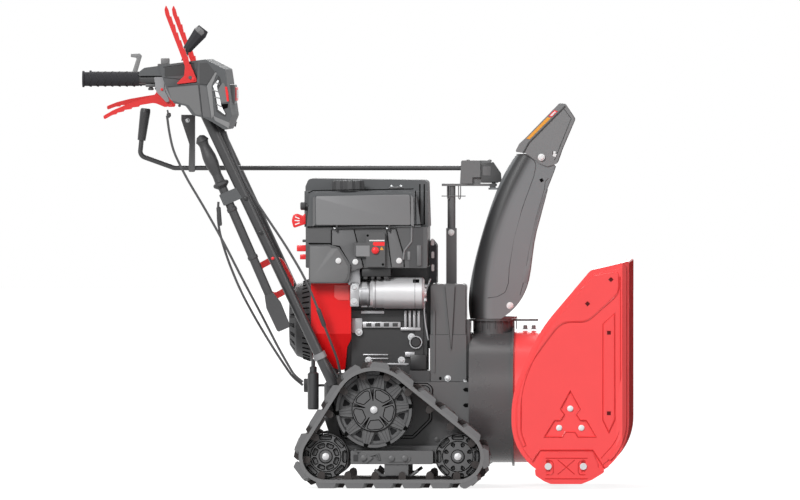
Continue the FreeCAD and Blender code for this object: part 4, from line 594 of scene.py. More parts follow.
def drive_wheel(word, side):
    """One side's drive wheel, in place of its plain solid, with its spokes, windows and grooves."""
    half, rim, hub = WHEEL_HALF, DRIVE_RADIUS, HUB_RADIUS
    profile = [(-half, AXLE_RADIUS), (-half, 40), (16 - half, 44), (16 - half, rim - 12), (-half, rim - 6),
               (-half, rim), (half, rim), (half, rim - 9), (half - 12, rim - 13), (half - 12, hub),
               (half, hub), (half + 2.2, hub - 0.6), (half + 3, hub - 1.6), (half + 3, AXLE_RADIUS)]
    disc = lathe("drive_disc_" + word, profile, (DRIVE[0], side * TRACK_CENTRE, DRIVE[1]), (0, side, 0),
                 wheel_plastic, steps=96)
    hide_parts("drive_wheel_" + word)
    spoke = [(-13.5, 50), (13.5, 50), (7.5, 87), (-7.5, 87)]
    window = [(-2.5, 62, 1.5), (2.5, 62, 1.5), (10, 78, 2.5), (-10, 78, 2.5)]
    notch = [(-6.5, 87, 1), (6.5, 87, 1), (4.5, 95, 1), (-4.5, 95, 1)]
    # The windows and the notches are sheets of painted shade.
    for label, outlines, span, material in (
            ("spokes", [about(DRIVE, spoke, turn) for turn in SPOKE_TURNS], (231, 242), wheel_plastic),
            ("windows", ring_outlines(DRIVE, window, 10, 5.4), (232, 233.6), window_shade),
            ("notches", ring_outlines(DRIVE, notch, 10, SPOKE_TURNS[0]), (243, 245.5), recess_shade)):
        plate("drive_%s_%s" % (label, word), outlines, levels(side, *span), material)
    edges = [[(-12.8, 55), (-6.8, 86)], [(12.8, 55), (6.8, 86)]]
    flutes = [[(-4.5, 56), (-2.8, 85)], [(4.5, 56), (2.8, 85)]]
    # The ribs along the spokes' edges are painted highlights; the flutes between them are painted shade.
    for label, ribs, radius, material in (
            ("ribs", edges, 0.9, edge_highlight), ("flutes", flutes, 0.6, seam_shade)):
        paths = [about(DRIVE, rib, turn) for turn in SPOKE_TURNS for rib in ribs]
        etched("drive_%s_%s" % (label, word), side * 242.2, paths, radius, material)
    # The grooves round the hub pockets and the rim, and the slots, are lines of painted shade.
    hub_face = side * (WHEEL_FACE + 3.1)
    pocket = [(-11, 26, 3), (11, 26, 3), (22, 43.5, 4), (13, 49.5, 12), (-13, 49.5, 12), (-22, 43.5, 4)]
    grooves = [at_level(points, hub_face) for points in ring_outlines(DRIVE, pocket, 5, 41)]
    grooves += [at_level(circle(DRIVE, radius), side * level)
                for radius, level in ((54.3, 245.6), (95.8, 245.1))]
    lines("drive_grooves_" + word, grooves, 1.1, recess_shade, closed=True)
    slots = [about(DRIVE, [(0, 22), (x, 51.5)], 5 + 72 * k) for k in range(5) for x in (-3.6, 3.6, 0)]
    etched("drive_slots_" + word, hub_face, slots, 1.1, recess_shade)


def idler_details(word, side):
    """The moulded grooves of one side's idlers and the bolts on its three axles."""
    outer = [(-13, 42, 3), (13, 42, 3), (16, 51, 3), (-16, 51, 3)]
    inner = [(-7.5, 23, 3), (7.5, 23, 3), (10, 33, 3), (-10, 33, 3)]
    wedge = [(0, 24, 2), (7, 35, 3), (-7, 35, 3)]
    grooves = []
    for centre, small in ((REAR_IDLER, inner), (FRONT_IDLER, wedge)):
        grooves += ring_outlines(centre, outer, 8, 0) + ring_outlines(centre, small, 8, 22.5)
        grooves += [circle(centre, radius) for radius in (16.5, 38, 54.5)]
    # The grooves are lines of painted shade.
    etched("idler_grooves_" + word, side * (WHEEL_FACE + 0.3), grooves, 1.15, recess_shade,
           closed=True)
    side_bolts("axle_bolts_" + word, side, [(x, 250.5, z) for x, z in (DRIVE, REAR_IDLER, FRONT_IDLER)],
               satin_alloy, head=6.5, height=3, washer=8.8, washer_height=2, sides=20)


def track_details(word, side):
    """The tensioner, its spring and the bolts of the frame between a track's wheels."""
    plate("tension_plate_" + word, [[(8.5, 90), (43.5, 76), (24, 60)]], levels(side, 239, 247), panel_paint)
    side_bolts("frame_bolts_" + word, side, [(89, 245, 74), (122, 245, 74), (20, 247, 75)], panel_paint,
               "mid_grey_paint", head=7, height=3.5, washer=9, washer_height=1, sides=20)
    etched("tension_spring_" + word, side * 246, [[(-2, 97), (3, 88), (8, 92), (14, 84)],
                                                  [(36, 80), (50, 84), (55, 72), (61, 70), (56, 86)]],
           1.6, panel_paint, sides=2)
    plate("tension_stop_" + word, [[(-6, 67), (5, 67), (5, 83), (-6, 83)]], levels(side, 236, 244),
          black_plastic)


paint_lug_shade_and_highlight()
for word, side in SIDES:
    plate("belt_edge_" + word, [belt_loop(9.2), belt_loop(0)], levels(side, 282.4, 283.5), belt_edge_rubber)
    drive_wheel(word, side)
    idler_details(word, side)
    track_details(word, side)

# ---------------------------------------------------------------- chassis and belt cover


def chassis_details(word, side):
    """Panel seams, bolts and the belt cover's fasteners on one side."""
    seam = [(-38, 122, 10), (141, 122, 10), (186, 167, 14), (188, 250, 14), (175, 259, 2), (-76, 259, 2)]
    fold = [(-38, 128, 8), (138.5, 128, 8), (180, 169.5, 12), (182, 247, 12), (172, 253, 2), (-70, 253, 2)]
    # The seams are lines of painted shade.
    lines("chassis_seams_" + word,
          [at_level(rounded(seam), side * 136), at_level(rounded(fold), side * 136.2)],
          1.3, recess_shade, closed=True)
    lines("cover_seams_" + word, [at_level([(183, 380), (271, 380)], side * 106.6),
                                  at_level([(183, 263), (271, 263)], side * 107),
                                  at_level([(233.5, 345), (219, 500)], side * 109),
                                  at_level([(235, 345), (243.5, 500)], side * 109)],
          0.7, seam_shade)
    side_bolts("cover_bolts_" + word, side, [(225.8, 107, 271)], head=5.5, height=3, washer=8, sides=20)
    # The cover's hole is a sheet of painted shade.
    plate("cover_hole_" + word, [[(204, 267, 3), (210.5, 267, 3), (210.5, 275, 3), (204, 275, 3)]],
          levels(side, 106.5, 107.4), recess_shade)
    side_bolts("chassis_bolt_" + word, side, [(199.6, 132, 119)], panel_paint, "mid_grey_paint",
               head=6, height=2.5, washer=8, washer_height=1, sides=20)
    bolts("flange_nuts_" + word, [((266, side * 118, z), FORWARD) for z in (262, 186)], head=5, height=5,
          washer=7, washer_height=2)
    # The flange's notches are sheets of painted shade.
    notch = [(-7, 0), (-2, -5), (6, -5), (6, 5), (-2, 5)]
    plate("flange_notches_" + word, [about((271, z), notch) for z in (243, 204)], levels(side, 131.6, 132.6),
          recess_shade)


for word, side in SIDES:
    chassis_details(word, side)

# ---------------------------------------------------------------- engine

# The starter motor's axis and the oil filler, as (Y, Z) and (X, Y, Z) in mm.
STARTER_AXIS = (-128, 484)
OIL_FILLER = (146, -110, 361)


def hood_details():
    """The upper hood's raised panel, seams, clips and small caps; its left face has two seams only."""
    panel = [(-101, 654, 3), (-102, 726, 6), (133, 730, 6), (134, 654, 3)]
    plate("hood_panel", [panel], levels(-1, 178.5, 181.4), hood_plastic, bevel=0.8)
    # The edge strips are the panel's bevels, painted lighter than the cover as highlights.
    for label, edge, material in (
            ("rear", [(-109, 650), (-103, 654), (-104, 726), (-109, 722)], edge_highlight),
            ("front", [(135.5, 654), (143, 651), (142, 722), (135, 730)], hood_plastic)):
        plate("hood_%s_edge" % label, [edge], levels(-1, 175, 180.5), material)
    # The seams are lines of painted shade.
    lines("hood_seams", [at_level([(-122, 649.5), (165, 655)], -176.4),
                         at_level([(-120, 734), (-108, 740), (142, 744)], -176.2),
                         at_level([(148, 655), (147, 740)], -175.5)], 1.4, recess_shade)
    etched("hood_front_seams", -142.3, [[(x, 655), (x, 756)] for x in (157, 168)], 1.6, recess_shade)
    etched("hood_left_seams", 150.2, [[(-128, 655), (175, 655)], [(-126, 738), (173, 738)]], 1.2, recess_shade)
    etched("hood_rod", -178, [[(-62, 645.5), (98, 648.5)]], 2.0, black_plastic, sides=2)
    for number, x in enumerate((-49, 82)):
        block("hood_clip_%d" % number, (x - 2.2, -181, 637), (x + 2.2, -172, 658), black_plastic, bevel=0.8)
        block("hood_catch_%d" % number, (x - 8, -181, 644), (x - 3, -172, 647.5), zinc_plate,
              "bright_steel", bevel=0.6)
    block("hood_latch", (80, -146, 742), (117, -136, 749), dark_plastic, bevel=2)
    for number, x in enumerate((86, 110)):
        lathe("latch_stud_%d" % number, [(0, 3.4), (3, 3.4), (4, 2), (4.4, 0)], (x, -144, 749), UP,
              zinc_plate, steps=16)


def cover_details():
    """The lower cover's panels, seams and bolts on the starter's side."""
    tapered = [(-61, 643, 2), (-8, 643, 2), (0, 612, 2), (-4, 604, 2), (-4, 574, 2), (10, 571, 2),
               (16, 548, 2), (-14, 538, 2), (-16, 548, 4), (-45, 599, 3), (-61, 600, 2)]
    narrow = [(77, 642, 2), (97, 643, 2), (115, 582, 3), (117, 549, 1), (88, 549, 1), (87, 556, 2)]
    bay = [(141, 648), (166, 648), (166, 549), (131, 549), (131, 566), (118, 566), (121, 588), (141, 611)]
    corner = [(-116, 601, 3), (-66, 601, 3), (-63, 596, 2), (-47, 596, 4), (-21.5, 551, 8), (-21, 536, 12),
              (-28, 512, 14), (-116, 511.5, 3)]
    for name, outline, inner, outer, material, bevel in (
            ("cover_panel_rear", tapered, 170, 173.6, panel_plastic, 0.8),
            ("cover_panel_front", narrow, 170, 173.6, panel_plastic, 0.8),
            ("cover_bay", bay, 170, 172.7, dark_plastic, 0.0),
            ("corner_panel", corner, 181, 183, corner_plastic, 0.8)):
        plate(name, [outline], levels(-1, inner, outer), material, bevel=bevel)
    # The seams are lines of painted shade.
    etched("cover_seams", -173, [[(-119, 608), (-64, 608), (-63, 603), (-43, 601), (-15, 552)]], 1.9,
           recess_shade)
    etched("cover_panel_seams", -173.2,
           [[(-6.5, 643), (1.5, 611)], [(-63, 643), (-63, 606)], [(12, 571), (18, 548)],
            [(75, 641), (80, 600), (87, 549)], [(99, 643), (117, 582), (119, 549)]], 1.1, recess_shade)
    etched("cover_front_rib", -173, [[(137.5, 648), (137, 613), (119, 590), (116.5, 568)]], 2.6,
           hood_plastic, sides=2)
    block("cover_duct", (150, -176, 552), (162, -170, 604), panel_plastic, bevel=2)
    block("cover_duct_small", (127, -175, 567), (134, -170, 588), hood_plastic, bevel=1)
    # The caps are white as a painted reflection of bright metal.
    side_bolts("cover_caps", -1, [(-45, 183, 565), (-3, 173.6, 562), (106, 173.6, 565)], white_film_and_painted_light,
               head=6.2, height=2.2, washer=7.4, washer_height=1.6, sides=24)


def switch_details():
    """The starter switch's blank labels, screws, primer button and plug."""
    grey = [(-1, 576, 1), (33, 576, 1), (33, 603, 1), (-1, 603, 1)]
    red = [(41, 602.5, 4), (70, 602.5, 1), (70, 612, 1), (41, 612, 4)]
    white = [(32, 614), (70, 614), (70, 617), (32, 617)]
    orange = [(58, 592), (68, 592), (63, 601)]
    # The screws are small squares of painted shade.
    screws = [[(x - 3, z - 3, 2.9), (x + 3, z - 3, 2.9), (x + 3, z + 3, 2.9), (x - 3, z + 3, 2.9)]
              for x, z in ((28, 628), (66, 556))]
    for name, outlines, material, slot in (
            ("switch_label", [grey], label_grey, "black_plastic"),
            ("switch_label_red", [red], red_plastic, "red_plastic"),
            ("switch_label_white", [white], white_film_and_painted_light, "black_plastic"),
            ("switch_label_orange", [orange], orange_film, "red_plastic"),
            ("switch_screws", screws, recess_shade, "black_plastic")):
        plate(name, outlines, levels(-1, 185, 186.6), material)
    lathe("primer_button", [(0, 9), (5, 9), (7.5, 6.5), (8.6, 3.5), (9, 0)], (47, -186, 591), RIGHT,
          red_plastic)
    block("switch_plug", (13, -166, 526), (85, -110, 548), black_plastic, bevel=1.5)
    for number, (x0, x1) in enumerate(((17, 27), (36, 44), (50, 60), (68, 79))):
        block("switch_pin_%d" % number, (x0, -163, 519), (x1, -150, 528), seam_shade, bevel=1)


def rear_controls():
    """Choke, throttle, key and switch on the engine's rear face."""
    fan = [(-128, 686, 2), (-135, 677, 3), (-148, 682, 3), (-158, 681, 7), (-163, 665, 20), (-158, 646, 7),
           (-149, 649, 3), (-128, 656, 2)]
    slots = [[(-143, 671), (-143, 668.6), (-155, 673), (-154, 675.6)],
             [(-143, 665.8), (-143, 663.2), (-155.5, 664), (-155.5, 666.6)],
             [(-143, 660.4), (-143, 658), (-154, 653.6), (-155, 656.4)]]
    plate("choke_knob", [fan, *slots], levels(-1, 142, 149), red_plastic, bevel=1)
    block("choke_stem", (-130, -148, 650), (-120, -143, 690), black_plastic)
    lathe("throttle_knob", [(0, 5), (6, 5), (6, 9), (8, 10), (17, 10), (19, 8), (19, 0)], (-122, -146, 701),
          (-1, 0, 0), dark_plastic, steps=24)
    for name, low, high, material, slot, bevel in (
            ("engine_key", (-150, -149, 588), (-121, -137, 604), red_plastic, "red_plastic", 2),
            ("engine_key_base", (-124, -152, 584), (-116, -134, 608), black_plastic, "black_plastic", 2),
            ("fuel_switch", (-142, -148, 568), (-120, -138, 581), red_plastic, "red_plastic", 1.5),
            ("rear_spigot", (-136, -146, 611), (-116, -138, 618), dark_plastic, "black_plastic", 2)):
        block(name, low, high, material, slot, bevel=bevel)


def starter_details():
    """The electric starter's end frame, bands and terminals."""
    y, z = STARTER_AXIS
    bands = [[(x, *point) for point in circle(STARTER_AXIS, 39.2, 72)] for x in (46, 145, 163)]
    lines("starter_bands", bands, 0.8, cast_metal, closed=True)
    # The window and the gap behind the throat are painted shade.
    slant = [(-157.8, 510.4), (-148.6, 518.5), (-146.6, 516.2), (-155.8, 508.1)]
    window = skin("starter_window", [[(x, *corner) for corner in slant] for x in (140, 155.5)])
    settle(window, recess_shade, "machine")
    block("starter_bracket", (-17, -158, 450), (6, -122, 509), cast_metal, "cast_metal", bevel=3)
    lathe("starter_throat", [(0, 31), (4, 31), (4, 29), (18, 29), (18, 33), (22, 33), (22, 24), (31, 24)],
          (8, y, z - 2), FORWARD, cast_metal)
    lathe("starter_gap", [(0, 30.2), (6, 30.2), (6, 25), (7, 25)], (31.5, y, z - 2), FORWARD, recess_shade)
    side_bolts("starter_bolts", -1, [(-7, 158, 463), (-6, 158, 498)])
    bolts("starter_end_bolts", [((168, y + 30 * math.cos(a), z + 30 * math.sin(a)), FORWARD)
                                for a in (0.6, 3.74)], head=5, washer=7)


def engine_castings():
    """Silver ribs, bars and covers on the crankcase, and plain castings that close gaps behind it."""
    silver, softness = (cast_metal, "cast_metal"), 1.2
    for name, low, high, looks, bevel in (
            ("crank_bracket_plate", (-14, -106, 384), (12, -96, 421), silver, softness),
            ("crank_band", (13, -107, 397), (108, -97, 412), silver, softness),
            ("crank_bar_high", (9, -106, 448), (39, -74, 455), silver, softness),
            ("crank_bar_low", (9, -106, 432), (67, -96, 440), silver, softness),
            ("fin_base", (108, -108, 390), (158, -97, 398), silver, softness),
            ("crank_strip_high", (14, -102, 327.5), (77, -97, 331.5), silver, softness),
            ("crank_strip_low", (20, -102, 318), (77, -97, 322), silver, softness),
            ("crank_stud", (119, -106, 324), (143, -97, 337), silver, softness),
            ("crank_foot_rail", (14, -101, 303), (128, -97, 309), silver, softness),
            ("crankcase_rear", (-33, -94, 286), (-10, 94, 440), (engine_cast, "cast_metal"), 3),
            ("intake_elbow", (-22, -150, 504), (9, -92, 548), silver, 3),
            ("shroud_back", (158, -66, 345), (186, 66, 550), (engine_cast, "cast_metal"), 2),
            ("drum_collar", (266, -95, 262), (281, 95, 418), (drum_paint, "mid_grey_paint"), 2)):
        block(name, low, high, *looks, bevel=bevel)


def crankcase_details():
    """The crankcase's fins, pockets and studs, the oil filler, and the muffler guard's slots, painted white
    as the backdrop seen through them.
    """
    for number, x in enumerate((117, 128, 139, 150)):
        block("crank_fin_%d" % number, (x, -107, 398), (x + 6, -97, 440), cast_metal, "cast_metal", bevel=1)
    for number, x in enumerate((22, 44, 66, 88)):
        block("band_pocket_%d" % number, (x, -107.6, 400), (x + 13, -106, 409), seam_shade, "cast_metal",
              bevel=0.5)
    side_bolts("crank_bolts", -1, [(4, 106, 386), (28, 98, 316), (110, 98, 316), (135, 97.5, 374)])
    lathe("oil_ring", [(0, 16), (2, 16), (2, 13.5), (0, 13.5)], OIL_FILLER, RIGHT, cast_metal)
    lathe("oil_cap", [(0, 12.5), (5, 12.5), (6.5, 11), (6.5, 0)], OIL_FILLER, RIGHT, black_plastic, steps=12)
    block("oil_drain_bracket", (132, -112, 292), (172, -103, 330), black_plastic, bevel=2)
    edge = [(182, -92, 519), (170, -96, 490), (166, -98, 450), (168, -98, 410), (177, -96, 366)]
    lines("shroud_edge", [edge], 3, cast_metal, sides=4, curved=True)
    # White plates stand in for the backdrop light seen through the guard's slots.
    slots = [[(183, 602, 3), (191, 602, 3), (191, 618, 6), (183, 620, 3)],
             *([(184, z, 3), (191, z, 3), (191, z + 17, 3), (184, z + 17, 3)] for z in (570, 538))]
    plate("guard_slots", slots, levels(-1, 69, 71), white_film_and_painted_light)


def blower_details():
    """Raised flat panels on the red housing behind the engine, in a lighter red as a painted highlight."""
    panel = [(-57, 505, 2), (-18, 505, 2), (-18, 466, 2), (-47, 466, 7), (-57, 474, 5)]
    for word, side in SIDES:
        plate("blower_panel_" + word, [panel], levels(side, 136, 139.6), red_highlight, bevel=1.5)


def recoil_details():
    """Cooling louvres round the recoil starter's cone, which widens forwards by 0.36 mm a mm."""
    ends = (-138, -120)
    rings = [circle((0, 415), 104 + 0.36 * (x + 115), 40) for x in ends]
    louvres = [[(x, -y, z) for x, (y, z) in zip(ends, pair)] for pair in zip(*rings)]
    # The louvres are lines of painted shade.
    lines("recoil_louvres", louvres, 2.0, recess_shade)


hood_details()
cover_details()
switch_details()
rear_controls()
starter_details()
engine_castings()
crankcase_details()
blower_details()
recoil_details()

# ---------------------------------------------------------------- console and handles

# The handle tubes' distance from the middle, their grips' height and radius, and where the console's
# sheets start from, in mm.
HANDLE_MIDDLE, GRIP_HEIGHT, GRIP_RADIUS = 222, 1017.5, 17.9
CHEEK = 268


def console_sheets():
    """The thin sheets on a cheek: name, distances from the middle in mm, finish and outline."""
    return (
        ("cheek", (CHEEK, 270.8), cheek_plastic, [
            (-467, 996, 3), (-392, 1003, 2), (-384, 928, 3), (-398, 930, 4), (-415, 953, 8), (-438, 959, 8),
            (-457, 965, 4)]),
        ("facet", (CHEEK, 270.7), panel_plastic, [
            (-388, 1003, 2), (-371, 999, 2), (-360, 921, 2), (-380, 926, 2)]),
        ("crown", (CHEEK, 270.6), dark_plastic, [
            (-388, 1058, 2), (-368, 1059, 2), (-350, 1036, 2), (-371, 1004, 2), (-388, 1007, 2)]),
        ("rear_crown", (242, 244.5), black_paint, [
            (-476, 1047, 2), (-402, 1056, 2), (-402, 1034, 2), (-440, 1026, 3), (-476, 1024, 2)]),
        # The bezel is a light grey sheet: a painted highlight along the console's front edge.
        ("bezel_highlight", (CHEEK, 271.6), light_grey_plastic, [
            (-370, 1001), (-349, 1035), (-345, 1033), (-358, 1001), (-352, 930), (-358, 919)]),
        ("lip", (CHEEK, 271.4), light_grey_plastic, [
            (-355, 929), (-349, 924), (-313, 909), (-316, 896), (-350, 915)]),
        ("lamp_bed", (CHEEK, 270.9), seam_shade, [
            (-345, 1028), (-341, 1026), (-355, 1003), (-346, 937), (-324, 924), (-321, 932), (-332, 952),
            (-336, 975), (-338, 988), (-333, 1006), (-337, 1022)]),
        ("lamp_strip", (CHEEK, 272.2), lamp_white, [
            (-343, 1016, 1), (-349, 1008, 1), (-355, 1001, 2), (-350, 987, 2), (-347, 973, 1),
            (-342, 942, 2), (-325, 929, 1), (-324, 932, 1), (-334, 952, 3), (-338, 974, 3),
            (-343, 990, 2), (-345, 1000, 2), (-340, 1014, 1)]),
        ("nose_side", (CHEEK, 272.0), cheek_plastic, [
            (-344, 989, 2), (-332, 1008, 2), (-327, 1008, 2), (-319, 986, 2), (-316, 961, 2),
            (-338, 958, 2)]),
        # Painted shade under the nose.
        ("nose_under", (CHEEK, 271.0), recess_shade, [
            (-337, 955), (-317, 957), (-318, 947), (-329, 943), (-336, 948)]),
        ("nose_edge", (CHEEK, 272.8), red_plastic, [
            (-325, 999), (-320, 999), (-317, 985), (-315, 963), (-320, 962)]))


def console_side(word, side):
    """One cheek's sheets, seams, screws and the clip that holds the handle tube."""
    for name, span, material, outline in console_sheets():
        plate("console_%s_%s" % (name, word), [outline], levels(side, *span), material)
    lines("console_seams_" + word,
          [at_level([(-468, 999), (-392, 1006), (-370, 1003), (-347, 1038)], side * 270),
           at_level([(-390, 1004), (-381, 923)], side * 270.6)], 0.9, seam_shade)
    etched("console_hood_lines_" + word, side * 244,
           [[(-478, 1022), (-440, 1018), (-404, 1014)], [(-480, 1048), (-402, 1058)]], 1.1, seam_shade)
    side_bolts("console_screws_" + word, side, [(-438, 270.6, 952)], black_plastic, "black_plastic",
               head=2.6, height=1, washer=3.6, washer_height=0.6, sides=12)
    side_bolts("trigger_pivot_" + word, side, [(-483, 237, 992)], red_plastic, "red_plastic",
               head=3.4, height=2.4, washer=4.6, washer_height=0.8, sides=16)
    low, high = levels(side, 213, 231)
    block("tube_clip_" + word, (-524, low, 998), (-498, high, 1006), grey_plastic, bevel=2)
    lathe("tube_clip_screw_" + word, [(0, 5), (3, 5), (4, 7), (8, 7), (9, 5), (9, 0)],
          (-511, side * HANDLE_MIDDLE, 999), (0, 0, -1), dark_plastic, steps=20)


def console_middle():
    """The nose block, its lens, the roof's switch and the thumb lever."""
    for name, low, high, material, slot, bevel in (
            ("nose_block", (-330, -78, 956), (-306, 78, 1004), cheek_plastic, "black_plastic", 4),
            ("nose_panel", (-309, -66, 963), (-303, 66, 997), red_plastic, "red_plastic", 2),
            ("nose_lens", (-305, -54, 970), (-302, 54, 990), white_film_and_painted_light, "black_plastic", 1),
            ("roof_switch", (-489, -152, 1046), (-468, -120, 1070), cheek_plastic, "black_plastic", 2),
            ("roof_switch_base", (-497, -158, 1040), (-461, -114, 1056), dark_plastic, "black_plastic", 2)):
        block(name, low, high, material, slot, bevel=bevel)
    hook = [(-578, 1080, 2), (-556, 1081, 3), (-550, 1075, 3), (-562, 1034, 2), (-575, 1032, 2),
            (-563, 1070, 3), (-578, 1072, 2)]
    plate("thumb_lever", [hook], levels(1, 214, 227), light_grey_plastic, bevel=1.5)


def grip_chevrons(word, side):
    """Chevron grooves moulded round a rubber grip, drawn as lines of painted shade."""
    ring = circle((side * HANDLE_MIDDLE, GRIP_HEIGHT), GRIP_RADIUS, 48)
    zigzag = [9 * abs((k / 6) % 2 - 1) for k in range(48)]
    chevrons = [[(start + x, *point) for x, point in zip(zigzag, ring)] for start in range(-668, -556, 18)]
    lines("grip_chevrons_" + word, chevrons, 1.0, grip_groove_shade, closed=True)


def handle_details(word, side):
    """The screws on a handle tube and the ribs across the light strip."""
    side_bolts("handle_screws_" + word, side, [(-238, 203, 636), (-275, 208, 720)], black_plastic,
               "black_plastic", head=4.5, height=2, washer=6, washer_height=1, sides=16)
    etched("lamp_ribs_" + word, side * 272.2, [[(-357, 991), (-341, 986)], [(-352, 973), (-336, 970)],
                                               [(-350, 1010), (-338, 1005)], [(-347, 956), (-333, 949)]],
           1.4, light_grey_plastic)
    side_bolts("handle_stud_" + word, side, [(-208.5, 196, 571)], red_plastic, "red_plastic", head=3.2,
               height=2, washer=4, washer_height=1, sides=16)


def cable_details():
    """The sleeves and end fittings of the control cables, and the crank bracket's bolt."""
    lines("steering_cable_link", [at_level([(-466, 921), (-468, 932), (-470, 941)], -HANDLE_MIDDLE)], 2.2,
          cable_sleeve, sides=2, curved=True)
    lathe("steering_cable_fitting", [(0, 3), (2, 5.5), (9, 5.5), (11, 3)], (-466, -222, 923), (-0.1, 0, 1),
          dark_plastic, steps=20)
    for label, origin, direction in (("drive", (-96, -184.5, 446), (0.36, 0.2, -1)),
                                     ("clutch", (-344, -189.7, 700), (0.08, 0.02, -1))):
        lathe(label + "_cable_sleeve", [(0, 3.2), (3, 5.6), (44, 5.6), (48, 4.2)], origin, direction,
              dark_plastic, steps=24)
    side_bolts("crank_bracket_bolt", -1, [(-427, 14, 914)], head=4, height=2, washer=5.5, washer_height=1)


for word, side in SIDES:
    console_side(word, side)
console_middle()
for word, side in SIDES:
    grip_chevrons(word, side)
lathe("speed_lever_cap", [(0, 13), (2, 16), (9, 16), (15, 12.5), (15.5, 0)], (-398, -75, 1131),
      (0.69, 0, 0.72), cheek_plastic, steps=8)
for word, side in SIDES:
    handle_details(word, side)
cable_details()
for word, side in SIDES:
    side_bolts("lever_pins_" + word, side, [(-404, 260.6, 1018)], red_plastic, "red_plastic",
               "clutch_lever_" + word, head=4, height=1.2, washer=5.5, washer_height=0.6, sides=16)

# ---------------------------------------------------------------- chute, deflector and mast


def paint_chute_corner_shade():
    """Paints shade in a band along the chute's rounded back corner that fades out forwards."""
    tree = chute_paint.node_tree
    height = component(tree, "Object", "Z")
    # The back edge, in metres: upright at first, then leaning forwards with the square of its rise.
    foot, back_foot, lean, top = 0.44, 0.277, 0.79, 0.86
    rise = math_node(tree, "MAXIMUM", math_node(tree, "SUBTRACT", height, foot), 0.0)
    bend = math_node(tree, "MULTIPLY", math_node(tree, "MULTIPLY", rise, rise), lean)
    back = math_node(tree, "ADD", bend, back_foot)
    depth = math_node(tree, "SUBTRACT", component(tree, "Object", "X"), back)
    ramp = tree.nodes.new("ShaderNodeValToRGB")
    stops = ramp.color_ramp.elements
    stops[0].color = (0.05, 0.05, 0.05, 1)
    stops[1].color = (0, 0, 0, 1)
    for position, value in ((0.04, 0.15), (0.075, 0.92), (0.34, 0.92), (0.47, 0.12), (0.56, 0.0)):
        stops.new(position).color = (value, value, value, 1)
    tree.links.new(math_node(tree, "MULTIPLY", depth, 10.0), ramp.inputs["Fac"])
    below = math_node(tree, "LESS_THAN", height, top)
    sideways = math_node(tree, "GREATER_THAN", magnitude(tree, "Normal", "Y"), 0.3)
    share = math_node(tree, "MULTIPLY", ramp.outputs["Color"], math_node(tree, "MULTIPLY", below, sideways))
    # The dark colour is painted shade of the rounded corner.
    repaint(chute_paint, share, (0.020, 0.020, 0.021))


def chute_half(height):
    """Half the chute's width at a height, a little inside its face so that a seam stands out thinly."""
    return min(max(59 + (height - 500) * 0.015, 58.5), 62) - 0.45


def chute_details(word, side):
    """Pressed seams, a rolled edge, bolts and a hole in painted shade on one side of the chute."""
    top, *bends, foot = [(415, 830), (440, 815), (445, 803), (440, 776), (411, 696), (390, 619), (378, 545),
                         (376, 508), (368, 485), (348, 474), (324, 471)]
    seam = rounded([top, *((x, z, 14) for x, z in bends), foot])
    lip = [(476, 770), (468, 762), (466, 742), (445, 672), (427, 589), (417, 522), (405, 478)]
    rim = [(472.5, 741), (466, 716), (459, 690), (452, 663), (445, 638), (439, 608), (434.5, 575), (430, 540),
           (425, 512), (408, 506), (423, 560), (427, 610), (433, 655), (440, 690), (452, 722), (462, 748)]
    lines("chute_seam_" + word, [[(x, side * chute_half(z), z) for x, z in path] for path in (seam, lip)],
          0.9, seam_shade, "chute")
    plate("chute_rim_" + word, [rim], levels(side, 55, 60.2), chute_paint, "chute", bevel=1)
    # The bolt heads are white as a painted reflection of bright metal.
    side_bolts("chute_bolts_" + word, side, [(380, 58.8, 452), (458.5, 70, 822.5)], white_film_and_painted_light,
               "bright_steel", "chute", head=6.2, height=2.6, washer=8.8, washer_height=1, sides=24)
    # The square hole is a sheet of painted shade.
    plate("chute_square_" + word, [square((459, 765), 4, 30)], levels(side, 61, 62.8), recess_shade,
          "chute")


def deflector_details(word, side):
    """A pale square, folds and blank films on one side of the deflector."""
    plate("deflector_stop_" + word, [square((491.5, 828), 4, -25)], levels(side, 65, 67), white_film_and_painted_light,
          "deflector")
    for label, distance, path, radius, sides in (
            ("fold", 66.4, [(518, 950), (427, 858), (413, 832)], 1.9, 2),
            ("lip", 66, [(515, 943), (533, 919), (491, 815)], 0.9, 1)):
        etched("deflector_%s_%s" % (label, word), side * distance, [path], radius, seam_shade,
               "deflector", sides=sides)
    for label, outline, outer, material in (
            ("film", [(421, 869), (429, 867), (482, 920), (474, 923)], 67, orange_film),
            ("film_red", [(476, 925), (484, 922), (499, 937), (491, 940)], 67, red_plastic),
            ("film_white", [(480, 926), (484, 924.5), (495, 935.5), (491, 937)], 67.6, white_film_and_painted_light)):
        plate("deflector_%s_%s" % (label, word), [outline], levels(side, 65, outer), material,
              "deflector")


def gear_details(word, side):
    """One half of the chute gear's housing and the mast's bolt on that side."""
    cap = [(307, 806, 1), (337, 810, 2), (356, 782, 2), (358, 760, 1), (307, 760, 1)]
    recess = [(311, 799, 1), (331, 799, 1), (331, 776, 1), (311, 776, 1)]
    plate("gear_cap_" + word, [cap], levels(side, 12, 15.2), gear_dark, bevel=0.6)
    plate("gear_recess_" + word, [recess], levels(side, 14, 16), grey_plastic, bevel=0.5)
    # The bolt head is white as a painted reflection of bright metal.
    side_bolts("mast_bolts_" + word, side, [(232, 13, 634)], white_film_and_painted_light, head=6, height=2.5, washer=8,
               washer_height=1, sides=24)


